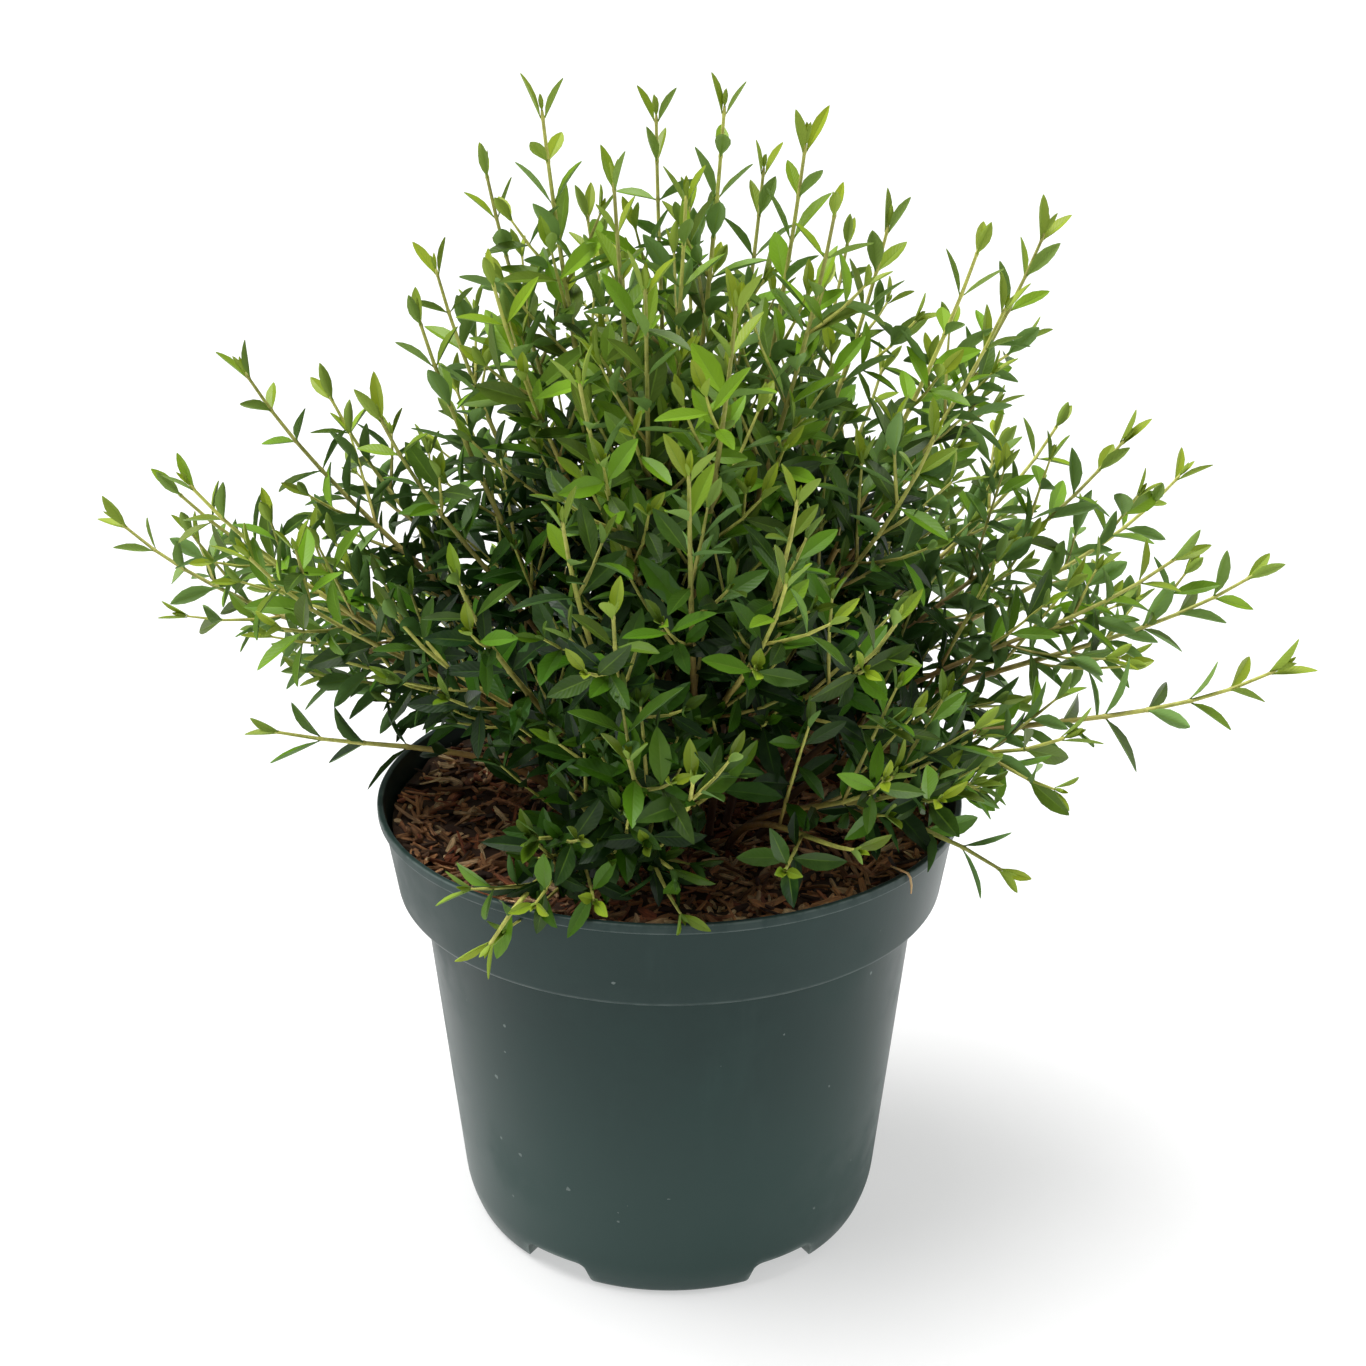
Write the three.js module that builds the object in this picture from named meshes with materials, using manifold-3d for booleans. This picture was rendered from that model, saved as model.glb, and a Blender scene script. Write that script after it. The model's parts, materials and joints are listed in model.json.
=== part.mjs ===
// Potted myrtle: a nursery pot on six feet, its growing medium, a layer of bark mulch and a
// bushy shrub of forked leafy stems, each standing in its own hole in the soil.
// Millimetres, +Z up. The origin is on the ground at the pot's axis and the front faces -Y.
import * as THREE from 'three'
import { mergeVertices } from 'three/addons/utils/BufferGeometryUtils.js'
import Module from 'manifold-3d'

const wasm = await Module()
wasm.setup()
const { Manifold } = wasm

// Gap between pieces that touch
const GAP = 0.3

// Pot
const POT_HEIGHT = 181
const LIP_RADIUS = 115
const LIP_HEIGHT = 4
const LIP_WIDTH = 2.4
const COLLAR_TOP_RADIUS = 113
const COLLAR_FOOT_RADIUS = 108.2
const COLLAR_FOOT_HEIGHT = 145
const BODY_TOP_RADIUS = 98.9
const BODY_TOP_HEIGHT = 142
const BODY_FOOT_RADIUS = 86.2
const BODY_FOOT_HEIGHT = 10
const WALL = 1.6
const FLOOR_HEIGHT = 11
const FLOOR_THICKNESS = 1.8
const FOOT_OUTER_RADIUS = 82.5
const FOOT_INNER_RADIUS = 74
const NOTCH_WIDTH_LOW = 30
const NOTCH_WIDTH_HIGH = 27
const NOTCH_CORNER = 2.5
const NOTCH_TURNS = [32, 90, 148, 212, 270, 328]
const DRAIN_RADIUS = 6
const DRAIN_RING_RADIUS = 60
const POT_SIDES = 36

// Growing medium and bark mulch
const FILL_SIDES = 24
const SOIL_TOP = 156
const MULCH_TOP = 166
const MULCH_EDGE_TOP = 168.5
const CHIP_COUNT = 16
const CHIP_LENGTH = [13, 23]
const CHIP_WIDTH = [3, 5.2]
const CHIP_THICKNESS = [2.2, 3.4]
const CHIP_RING = [48, 97]
const CHIP_TAPER = [0.35, 0.8]
const CHIP_ROLL = 0.5
const CHIP_PITCH = 0.2
const GOLDEN_ANGLE = Math.PI * (3 - Math.sqrt(5))
const STEM_DEPTH = 30
const SLEEVE_RADIUS = 2.9

// Where the stems leave the soil: how far the clump spreads and how far apart they keep
const CLUMP_RADIUS = 45
const LEAN_HEIGHT = 40
const HALF_LEAN = 0.45
const STEM_GAP = 11.5
const GAP_ROUNDS = 60

// The path of a shoot: its clearance, where it forks off, and how it rises, sways and ends
const ROUTE_GAP = 5
const FORKS = [0, 0.16, 0.24]
const SWAYS = [0, 9, -9, 18, -18, 27, -27]
const SWAY_START = 0.6
const RISE = 0.8
const RISE_AT_FORK = 0.5
const HANDLES = [0.34, 0.33]
const LIFT = 0.28
const TURN_UP = 0.6
const TUFT = 7
const TRAIL_HEIGHT = 222
const TRAIL = 0.013

// Leaf pairs in millimetres and degrees, and the twigs beside them
const SHOOT = { leaf: 25, internode: 15, bare: 0.20 }
const FORKED = { leaf: 25, internode: 14.5, bare: 0.12 }
const TWIG = { leaf: 20.5, internode: 12.5, bare: 0.25 }
const LAST_PAIR = 0.99
const PAIR_TURN = 0.25
const PAIR_SCALE = [0.84, 1.12]
const PAIR_WIDTH = [0.29, 0.36]
const OPENING = 62
const OPENING_FALL = 14
const OPENING_SPREAD = 16
const OPENING_AT_TIP = [16, 28]
const LAST_TWIG = 0.78
const TWIG_CHANCE = 0.75
const SECOND_TWIG = 0.45
const TWIG_LENGTH = [20, 54]
const TWIG_SCALE = [0.65, 1.25]
const TWIG_WAY = { along: 0.74, out: 0.67 }
const TWIG_END = { along: 0.25, up: 0.35 }
const TWIG_HANDLES = [0.35, 0.3]
const BARE_STEMS = {
  front_low: 0.5, front_low_right: 0.5, front_trailing: 0.14, front_tuft: 0.3, right_low: 0.45, left_low: 0.5
}
const TWIGLESS = ['left_low', 'right_low', 'right_furthest']
const LOWEST_LEAVES = { front_low: 224, front_low_right: 202 }

// Thickness of the wood, and how much of each stem is built
const WOOD = { shootFoot: 1.3, forkFoot: 1.1, shootTip: 0.55, twigFoot: 0.6, twigTip: 0.5 }
const TWIGS_PER_STEM = 1
const PAIRS_PER_STEM = 7
const PAIRS_DOWN = [2, 4, 7, 10, 13]
const PLAIN_STEPS = 5
const RING_ROOM = 0.85
const END_ROOM = 0.05
const JOIN_ROOM = 0.01
const SLEEVE_END = 0.2
const BLADE_DEPTH = 1.5
const BLADE_FOLD = 0.13
const BLADE_SHOULDERS = [[0.28, 0.43], [0.6, 0.41]]
const SLIM_SHOULDERS = [[0.45, 0.5]]
const BLADE_LIFT = 0.05

// Furthest leaf tip of every shoot on each stem
const STEMS = {
  crown_left_tall: [[-45, 0, 446], [-68, 25, 422], [-62, -32, 392]],
  crown_left_inner: [[-19, -35, 426], [6, -8, 418], [-8, -62, 395]],
  crown_middle: [[20, 15, 446], [-5, 45, 440], [-34, 98, 396]],
  crown_middle_back: [[37, 70, 418], [8, 108, 398]],
  crown_front: [[22, -76, 392], [-30, -82, 368]],
  crown_right_tall: [[48, -5, 435], [56, -45, 418]],
  crown_right_outer: [[83, 35, 401], [72, 82, 388]],
  right_high_front: [[110, -15, 401], [92, -60, 345]],
  right_high_back: [[146, 55, 395], [128, 25, 372]],
  left_high_back: [[-93, 65, 380], [-70, 92, 366]],
  left_high: [[-91, -10, 375], [-104, -35, 345]],
  left_reaching: [[-166, 35, 345], [-138, 60, 330]],
  left_spreading: [[-177, -25, 317], [-150, -58, 300]],
  left_furthest: [[-229, 62, 275], [-190, 5, 305]],
  left_low: [[-160, -8, 209], [-136, 30, 236]],
  right_back: [[166, 95, 310], [146, 118, 292]],
  right_spreading: [[216, 80, 291], [186, 58, 312]],
  right_reaching: [[230, 8, 270], [194, -12, 284]],
  right_furthest: [[226, -45, 251], [150, -50, 226]],
  right_low: [[126, -75, 177], [104, -80, 218]],
  front_trailing: [[-64, -127, 174], [-48, -106, 210], [4, -111, 197]],
  front_tuft: [[-36, -92, 226], [-20, -100, 218], [-2, -97, 221]],
  front_upper: [[6, -110, 345], [38, -120, 312]],
  front_upper_left: [[-35, -105, 328], [-18, -125, 303]],
  front_left: [[-72, -90, 303], [-98, -68, 282]],
  front_upper_right: [[42, -100, 334], [76, -108, 294]],
  front_low: [[8, -130, 247], [-14, -124, 252]],
  front_low_right: [[66, -114, 209], [100, -78, 224], [80, -96, 233]],
  back_high: [[-20, 118, 372], [28, 126, 352]],
  back_left: [[-92, 110, 322], [-62, 132, 292]],
  back_right: [[92, 114, 330], [62, 132, 300]],
  back_low_left: [[-118, 100, 242], [-90, 126, 226]],
  back_low_right: [[124, 104, 246], [98, 124, 220]],
  back_low: [[2, 133, 252], [24, 128, 215]]
}

const COLOURS = {
  pot: 0x3b4b49,
  soil: 0x2b2019,
  bark: 0x6d4530,
  leaf: 0x3f6a34
}

const UP = new THREE.Vector3(0, 0, 1)
const vector = (x, y, z) => new THREE.Vector3(x, y, z)
const radians = THREE.MathUtils.degToRad

// A weighted sum of vectors, given as vector, weight, vector, weight and so on
function blend (...terms) {
  const sum = vector(0, 0, 0)
  for (let i = 0; i < terms.length; i += 2) sum.addScaledVector(terms[i], terms[i + 1])
  return sum
}

const direction = (...terms) => blend(...terms).normalize()

// Seeded draws, so that the shrub is the same each time
function seeded (seed) {
  let state = seed
  const draw = (low = 0, high = 1) => {
    state = state * 16807 % 2147483647
    return low + (high - low) * state / 2147483647
  }
  for (let i = 0; i < 3; i++) draw()
  return draw
}

// Closed solids

function solidOf (points, triangles) {
  const vertProperties = new Float32Array(points.flatMap(p => [p.x, p.y, p.z]))
  const triVerts = new Uint32Array(triangles.flat())
  return new Manifold(new wasm.Mesh({ numProp: 3, vertProperties, triVerts }))
}

function solidFromGeometry (geometry) {
  const bare = geometry.clone()
  bare.deleteAttribute('normal')
  bare.deleteAttribute('uv')
  const merged = mergeVertices(bare, 1e-3)
  const place = merged.getAttribute('position')
  const points = Array.from({ length: place.count }, (_, i) => vector().fromBufferAttribute(place, i))
  const index = merged.getIndex().array
  const triangles = []
  for (let i = 0; i < index.length; i += 3) {
    const [a, b, c] = index.slice(i, i + 3)
    if (a !== b && b !== c && c !== a) triangles.push([a, b, c])
  }
  return solidOf(points, triangles)
}

function geometryFromSolid (solid) {
  const mesh = solid.getMesh()
  const geometry = new THREE.BufferGeometry()
  geometry.setAttribute('position', new THREE.BufferAttribute(new Float32Array(mesh.vertProperties), 3))
  geometry.setIndex(new THREE.BufferAttribute(new Uint32Array(mesh.triVerts), 1))
  geometry.computeVertexNormals()
  return geometry
}

// A turned solid from its radius and height pairs
function turned (profile, sides) {
  const points = profile.map(([radius, height]) => new THREE.Vector2(radius, height))
  return solidFromGeometry(new THREE.LatheGeometry(points, sides).rotateX(Math.PI / 2))
}

// Pot

function potProfile () {
  const outerFootBevel = 1.5
  const ledge = 1.2
  const slope = (BODY_TOP_RADIUS - BODY_FOOT_RADIUS) / (BODY_TOP_HEIGHT - BODY_FOOT_HEIGHT)
  const floorTop = FLOOR_HEIGHT + FLOOR_THICKNESS
  return [
    [0, FLOOR_HEIGHT],
    [FOOT_INNER_RADIUS - ledge, FLOOR_HEIGHT],
    [FOOT_INNER_RADIUS, 0],
    [FOOT_OUTER_RADIUS - outerFootBevel, 0],
    [FOOT_OUTER_RADIUS, outerFootBevel],
    [BODY_FOOT_RADIUS, BODY_FOOT_HEIGHT],
    [BODY_TOP_RADIUS, BODY_TOP_HEIGHT],
    [COLLAR_FOOT_RADIUS - ledge, COLLAR_FOOT_HEIGHT - ledge],
    [COLLAR_FOOT_RADIUS, COLLAR_FOOT_HEIGHT],
    [COLLAR_TOP_RADIUS, POT_HEIGHT - LIP_HEIGHT],
    [LIP_RADIUS, POT_HEIGHT - LIP_HEIGHT + 0.4],
    [LIP_RADIUS - 0.4, POT_HEIGHT],
    [LIP_RADIUS - LIP_WIDTH, POT_HEIGHT],
    [COLLAR_FOOT_RADIUS - WALL, COLLAR_FOOT_HEIGHT + WALL],
    [BODY_TOP_RADIUS - WALL, BODY_TOP_HEIGHT + WALL / 2],
    [BODY_FOOT_RADIUS - WALL + slope * (floorTop - BODY_FOOT_HEIGHT), floorTop],
    [0, floorTop]
  ]
}

// A slot with slanting sides and cut corners through the foot ring, between two feet
function footNotch (angle) {
  const low = NOTCH_WIDTH_LOW / 2
  const high = NOTCH_WIDTH_HIGH / 2
  const top = FLOOR_HEIGHT - 0.2
  const right = [[low, -1], [high, top - NOTCH_CORNER], [high - NOTCH_CORNER, top]]
  const left = right.map(([x, z]) => [-x, z]).reverse()
  const section = new THREE.Shape([...right, ...left].map(([x, z]) => new THREE.Vector2(x, z)))
  const slot = new THREE.ExtrudeGeometry(section, { depth: 30, bevelEnabled: false })
  slot.rotateX(Math.PI / 2).translate(0, -FOOT_INNER_RADIUS + 8, 0).rotateZ(angle)
  return solidFromGeometry(slot)
}

function drainHole (x, y) {
  const hole = new THREE.CylinderGeometry(DRAIN_RADIUS, DRAIN_RADIUS, 4 * FLOOR_THICKNESS, 6)
  return solidFromGeometry(hole.rotateX(Math.PI / 2).translate(x, y, FLOOR_HEIGHT + FLOOR_THICKNESS / 2))
}

function pot () {
  const cuts = [drainHole(0, 0)]
  for (const angle of NOTCH_TURNS.map(radians)) {
    cuts.push(footNotch(angle))
    cuts.push(drainHole(DRAIN_RING_RADIUS * Math.sin(angle), -DRAIN_RING_RADIUS * Math.cos(angle)))
  }
  return turned(potProfile(), POT_SIDES).subtract(Manifold.union(cuts))
}

// Growing medium and bark mulch

// The pot's inner radius at a height above its floor
function innerRadius (height) {
  if (height < BODY_TOP_HEIGHT) {
    const part = (height - BODY_FOOT_HEIGHT) / (BODY_TOP_HEIGHT - BODY_FOOT_HEIGHT)
    return THREE.MathUtils.lerp(BODY_FOOT_RADIUS, BODY_TOP_RADIUS, part) - WALL
  }
  const part = (height - COLLAR_FOOT_HEIGHT) / (POT_HEIGHT - LIP_HEIGHT - COLLAR_FOOT_HEIGHT)
  return THREE.MathUtils.lerp(COLLAR_FOOT_RADIUS, COLLAR_TOP_RADIUS, part) - WALL
}

function growingMedium () {
  const floor = FLOOR_HEIGHT + FLOOR_THICKNESS + GAP
  const room = 2 * GAP
  return turned([
    [0, floor],
    [innerRadius(floor) - room, floor],
    [innerRadius(BODY_TOP_HEIGHT - 0.1) - room, BODY_TOP_HEIGHT + WALL],
    [COLLAR_FOOT_RADIUS - WALL - room, COLLAR_FOOT_HEIGHT + WALL + room],
    [innerRadius(SOIL_TOP) - room, SOIL_TOP],
    [0, SOIL_TOP]
  ], FILL_SIDES)
}

// One sliver of bark: a flat bar that narrows to its ends, in its own place on the layer
function barkChip (draw, i) {
  const long = draw(...CHIP_LENGTH) / 2
  const wide = draw(...CHIP_WIDTH) / 2
  const thick = draw(...CHIP_THICKNESS) / 2
  const taper = draw(...CHIP_TAPER)
  const points = []
  for (const [x, spread] of [[-long, taper], [long, 1.15 - taper]]) {
    points.push(vector(x, -wide * spread, -thick), vector(x, wide * spread, -thick))
    points.push(vector(x, wide * spread, thick), vector(x, -wide * spread, thick))
  }
  const roll = draw(-CHIP_ROLL, CHIP_ROLL)
  const pitch = draw(-CHIP_PITCH, CHIP_PITCH)
  const turn = new THREE.Euler(roll, pitch, draw(0, Math.PI), 'ZYX')
  const around = i * GOLDEN_ANGLE + draw(-0.06, 0.06)
  const out = Math.sqrt(THREE.MathUtils.lerp(CHIP_RING[0] ** 2, CHIP_RING[1] ** 2, (i + draw()) / CHIP_COUNT))
  const rise = THREE.MathUtils.lerp(MULCH_TOP, MULCH_EDGE_TOP, out / LIP_RADIUS) + draw(-0.6, 0.5)
  const place = vector(out * Math.cos(around), out * Math.sin(around), rise)
  points.forEach(point => point.applyEuler(turn).add(place))
  return solidOf(points, [
    [0, 3, 2], [0, 2, 1], [4, 5, 6], [4, 6, 7], [0, 1, 5], [0, 5, 4],
    [3, 7, 6], [3, 6, 2], [1, 2, 6], [1, 6, 5], [0, 4, 7], [0, 7, 3]
  ])
}

function barkMulch () {
  const bottom = SOIL_TOP + GAP
  const room = 2 * GAP
  const layer = turned([
    [0, bottom],
    [innerRadius(bottom) - room, bottom],
    [innerRadius(MULCH_EDGE_TOP) - room, MULCH_EDGE_TOP - 1],
    [0, MULCH_TOP - 0.5]
  ], FILL_SIDES)
  const draw = seeded(2029)
  const chips = Array.from({ length: CHIP_COUNT }, (_, i) => barkChip(draw, i))
  return Manifold.union([layer, ...chips])
}

// Growth of the shrub

// Where each stem leaves the soil: out of the clump's middle the further its shoots lean
function stemFeet () {
  const feet = Object.values(STEMS).map(tips => {
    const mean = tips.reduce((sum, tip) => sum.add(vector(...tip)), vector(0, 0, 0)).divideScalar(tips.length)
    const out = Math.hypot(mean.x, mean.y)
    const lean = out / (mean.z - MULCH_TOP + LEAN_HEIGHT)
    const radius = CLUMP_RADIUS * lean / (lean + HALF_LEAN)
    return vector(mean.x * radius / out, mean.y * radius / out, MULCH_TOP)
  })
  for (let round = 0; round < GAP_ROUNDS; round++) {
    for (let i = 0; i < feet.length; i++) {
      for (let j = 0; j < i; j++) {
        const apart = blend(feet[i], 1, feet[j], -1)
        const short = STEM_GAP - apart.length()
        if (short > 0) {
          apart.setLength(short / 2)
          feet[i].add(apart)
          feet[j].sub(apart)
        }
      }
    }
  }
  return feet
}

// A shoot's path from its start to just short of its furthest leaf tip
function route (start, tip, sway, leave) {
  const reach = blend(tip, 1, start, -1)
  const far = reach.length()
  const way = direction(reach, 1)
  const across = vector(-way.y, way.x, 0).normalize()
  const trail = TRAIL * Math.max(0, TRAIL_HEIGHT - tip.z)
  const turnUp = trail ? 0 : TURN_UP * Math.abs(way.y)
  const intoTip = direction(way, 1, UP, LIFT * way.z + turnUp - trail)
  let rise = direction(way, RISE, UP, 1)
  if (leave) rise = direction(rise, RISE_AT_FORK, leave, 1)
  const end = blend(tip, 1, intoTip, -TUFT)
  return new THREE.CubicBezierCurve3(
    start,
    blend(start, 1, rise, far * HANDLES[0], across, sway * SWAY_START),
    blend(end, 1, intoTip, -far * HANDLES[1], across, sway),
    end
  )
}

function clearOf (samples, others) {
  return others.every(other => samples.every(a => other.every(b => a.distanceTo(b) > ROUTE_GAP)))
}

// The first of the sways that keeps a shoot clear of the stems already there
function clearRoute (start, tip, others, leave) {
  let found
  for (const sway of SWAYS) {
    const arc = route(start, tip, sway, leave)
    const samples = Array.from({ length: 46 }, (_, i) => arc.getPoint((i + 3) / 48))
    found = { arc, samples }
    if (clearOf(samples, others)) break
  }
  return found
}

function arcLength (arc) {
  let sum = 0
  for (let i = 0; i < 16; i++) sum += arc.getPoint(i / 16).distanceTo(arc.getPoint((i + 1) / 16))
  return sum
}

function arcTangent (arc, t) {
  const s = 1 - t
  const { v0, v1, v2, v3 } = arc
  return direction(v0, -s * s, v1, s * s - 2 * s * t, v2, 2 * s * t - t * t, v3, t * t)
}

// Opposite leaves up a shoot, each pair turned a quarter from the last
function leafPairs (arc, outward, kind, bare, draw) {
  const count = Math.max(2, Math.round(arcLength(arc) * (1 - bare) / kind.internode))
  const roll = draw(0, Math.PI)
  const flat = vector(-outward.y, outward.x, 0)
  const pairs = []
  for (let i = 0; i <= count; i++) {
    const part = i / count
    const t = bare + (LAST_PAIR - bare) * part
    const along = arcTangent(arc, t)
    const side = direction(flat, 1, along, -flat.dot(along))
    const turn = roll + i * Math.PI / 2 + draw(-PAIR_TURN, PAIR_TURN)
    const lift = vector().crossVectors(side, along)
    const out = blend(side, Math.cos(turn), lift, Math.sin(turn))
    const full = 0.8 + 0.2 * Math.sin(Math.PI * Math.min(1, part * 1.2))
    const young = 1 - 0.25 * Math.max(0, (part - 0.8) / 0.2)
    const length = kind.leaf * full * young * draw(...PAIR_SCALE)
    let opening = radians(OPENING - OPENING_FALL * part + draw(-OPENING_SPREAD, OPENING_SPREAD))
    if (i === count) opening = radians(draw(...OPENING_AT_TIP))
    const width = length * draw(...PAIR_WIDTH)
    const slim = i === count
    pairs.push({ t, foot: arc.getPoint(t), along, out, opening, length, width, part, slim })
  }
  return pairs
}

// Side twigs in the leaf axils: none by the topmost leaves, often two by the lower ones
function twigsOf (outward, pairs, draw) {
  const twigs = []
  pairs.forEach((pair, i) => {
    const first = i % 2 ? 1 : -1
    for (const half of [first, -first]) {
      const chance = half === first ? TWIG_CHANCE : SECOND_TWIG * (1 - pair.part)
      if (pair.part > LAST_TWIG || draw() > chance) continue
      const length = THREE.MathUtils.lerp(...TWIG_LENGTH, 1 - pair.part) * draw(...TWIG_SCALE)
      const way = direction(pair.along, TWIG_WAY.along, pair.out, half * TWIG_WAY.out)
      const endWay = direction(way, 1, pair.along, TWIG_END.along, UP, TWIG_END.up)
      const foot = pair.foot
      const tip = blend(foot, 1, direction(way, 1, endWay, 1), length)
      const handle = blend(foot, 1, way, length * TWIG_HANDLES[0])
      const lastHandle = blend(tip, 1, endWay, -length * TWIG_HANDLES[1])
      const arc = new THREE.CubicBezierCurve3(foot, handle, lastHandle, tip)
      twigs.push({ arc, length, t: pair.t, pairs: leafPairs(arc, outward, TWIG, TWIG.bare, draw) })
    }
  })
  return twigs
}

function growStems () {
  const feet = stemFeet()
  const taken = []
  return Object.entries(STEMS).map(([name, tips], i) => {
    const draw = seeded(7919 * (i + 1))
    const outward = vector(tips[0][0], tips[0][1], 0).normalize()
    const shoots = []
    const lines = []
    tips.forEach((tip, k) => {
      const parent = k ? shoots[0].arc : null
      const start = k ? parent.getPoint(FORKS[k]) : feet[i]
      const leave = k ? arcTangent(parent, FORKS[k]) : null
      const { arc, samples } = clearRoute(start, vector(...tip), taken, leave)
      const kind = k ? FORKED : SHOOT
      const pairs = leafPairs(arc, outward, kind, BARE_STEMS[name] ?? kind.bare, draw)
      const twigs = k || !TWIGLESS.includes(name) ? twigsOf(outward, pairs, draw) : []
      const lowest = LOWEST_LEAVES[name] ?? 0
      shoots.push({
        arc,
        pairs: pairs.filter(pair => pair.foot.z > lowest),
        twigs: twigs.filter(twig => twig.arc.getPoint(1).z > lowest)
      })
      lines.push(samples)
    })
    taken.push(...lines)
    return { name, foot: feet[i], shoots }
  })
}

// Solids of the shrub

// The square ring of a stem at one place, turned to follow the ring before it
function stemRing (place, along, before, radius) {
  const side = direction(before, 1, along, -before.dot(along))
  const lift = vector().crossVectors(along, side)
  const corners = [[1, -1], [1, 1], [-1, 1], [-1, -1]]
  return corners.map(([a, b]) => blend(place, 1, side, a * radius, lift, b * radius))
}

// The quarter turn of a pair's axes that follows the ring before it with the least twist
function nearestQuarter (pair, before) {
  const across = vector().crossVectors(pair.along, pair.out)
  const quarters = [pair.out, across, pair.out.clone().negate(), across.clone().negate()]
  return quarters.reduce((best, way) => way.dot(before) > best.dot(before) ? way : best)
}

// The rim of a blade from its left shoulder over the tip to its right shoulder
function bladeRim (pair, half, radius) {
  const { foot, along, out, opening, length, width, slim } = pair
  const way = direction(along, Math.cos(opening), out, half * Math.sin(opening))
  const face = direction(along, Math.sin(opening), out, -half * Math.cos(opening))
  const across = vector().crossVectors(face, way)
  const start = blend(foot, 1, out, half * radius)
  const at = (far, side, rise) => blend(start, 1, way, far * length, across, side * width, face, rise * width)
  const shoulders = slim ? SLIM_SHOULDERS : BLADE_SHOULDERS
  const right = shoulders.map(([far, side]) => at(far, side, BLADE_FOLD)).reverse()
  const left = shoulders.map(([far, side]) => at(far, -side, BLADE_FOLD))
  return [...left, at(1, 0, BLADE_LIFT), ...right]
}

// A blade that grows out of one side of the stem, between the four corners given
function bladeTriangles (corners, rim, points) {
  const [lowLeft, lowRight, highRight, highLeft] = corners
  const first = points.length
  points.push(...rim)
  const middle = (rim.length - 1) / 2
  const triangles = [[highLeft, lowLeft, first], [lowRight, highRight, first + rim.length - 1]]
  for (let i = 0; i < rim.length - 1; i++) {
    const high = i < middle ? highLeft : highRight
    const low = i < middle ? lowLeft : lowRight
    triangles.push([high, first + i, first + i + 1], [low, first + i + 1, first + i])
  }
  triangles.push([highLeft, first + middle, highRight], [lowLeft, lowRight, first + middle])
  return triangles
}

// A tapered square stem along a line of stations, with a pair of blades at those that have one
function leafyRod (stations) {
  const points = []
  const triangles = []
  let side = stations.find(station => station.pair)?.pair.out ?? vector(1, 0, 0)
  const addRing = (place, along, radius) => points.push(...stemRing(place, along, side, radius)) - 4
  const addWall = (low, high, k) => {
    const next = (k + 1) % 4
    triangles.push([low + k, low + next, high + next], [low + k, high + next, high + k])
  }
  let last = null
  for (const { foot, along, radius, pair } of stations) {
    const deep = pair ? BLADE_DEPTH / Math.max(Math.sin(pair.opening), 0.45) / 2 : 0
    if (pair) side = nearestQuarter(pair, side)
    const low = addRing(blend(foot, 1, along, -deep), along, radius)
    if (last !== null) for (let k = 0; k < 4; k++) addWall(last, low, k)
    last = low
    if (!pair) continue
    const high = addRing(blend(foot, 1, along, deep), along, radius)
    const lift = vector().crossVectors(along, side)
    const normals = [side, lift, side.clone().negate(), lift.clone().negate()]
    normals.forEach((normal, k) => {
      const half = Math.round(normal.dot(pair.out))
      if (!half) return addWall(low, high, k)
      const next = (k + 1) % 4
      const rim = bladeRim(pair, half, radius)
      triangles.push(...bladeTriangles([low + k, low + next, high + next, high + k], rim, points))
    })
    last = high
  }
  triangles.push([0, 3, 2], [0, 2, 1], [last, last + 1, last + 2], [last, last + 2, last + 3])
  return solidOf(points, triangles)
}

const boxesMeet = (a, b) => a.min.every((low, i) => low - GAP < b.max[i] && b.min[i] - GAP < a.max[i])

// Solids with their boxes, and a test for room beside them
class Bits {
  constructor (solids = []) {
    this.list = []
    solids.forEach(solid => this.add(solid))
  }

  add (solid) {
    this.list.push({ solid, box: solid.boundingBox() })
  }

  clearOf (solid) {
    const box = solid.boundingBox()
    return this.list.every(bit => !boxesMeet(bit.box, box) || bit.solid.minGap(solid, 2 * GAP) > GAP)
  }
}

// A shoot or twig that can be built: its path, its thickness and the leaf pairs it was given
function axis ({ arc, pairs }, firstRadius, lastRadius, root) {
  const radius = t => THREE.MathUtils.lerp(firstRadius, lastRadius, t)
  return { arc, radius, root, wanted: pairs, kept: [], joins: [0] }
}

// The stations of an axis: its kept pairs, where others join it, and plain rings between those
function stationsOf ({ arc, radius, root, kept, joins }, steps) {
  const stations = kept.map(pair => ({ ...pair, pair }))
  const addPlain = (t, room) => {
    if (stations.every(station => Math.abs(station.t - t) > room)) {
      stations.push({ t, foot: arc.getPoint(t), along: arcTangent(arc, t) })
    }
  }
  joins.forEach(t => addPlain(t, JOIN_ROOM))
  addPlain(1, END_ROOM)
  for (let i = 1; i < steps; i++) addPlain(i / steps, RING_ROOM / steps)
  stations.sort((a, b) => a.t - b.t)
  if (root) stations.unshift({ t: 0, foot: root, along: UP })
  return stations.map(station => ({ ...station, radius: radius(station.t) }))
}

// The bit of stem round one leaf pair, to test for room
function pairTest (pair, radius) {
  const near = far => ({ foot: blend(pair.foot, 1, pair.along, far), along: pair.along, radius })
  return leafyRod([near(-3), { ...near(0), pair }, near(3)])
}

// The hole that a stem stands in, a little wider than the stem
function sleeve (stem) {
  const arc = stem.shoots[0].arc
  const low = blend(stem.foot, 1, UP, -STEM_DEPTH - 0.5)
  const places = [[low, UP], [stem.foot, UP], [arc.getPoint(SLEEVE_END), arcTangent(arc, SLEEVE_END)]]
  return leafyRod(places.map(([foot, along]) => ({ foot, along, radius: SLEEVE_RADIUS })))
}

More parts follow.
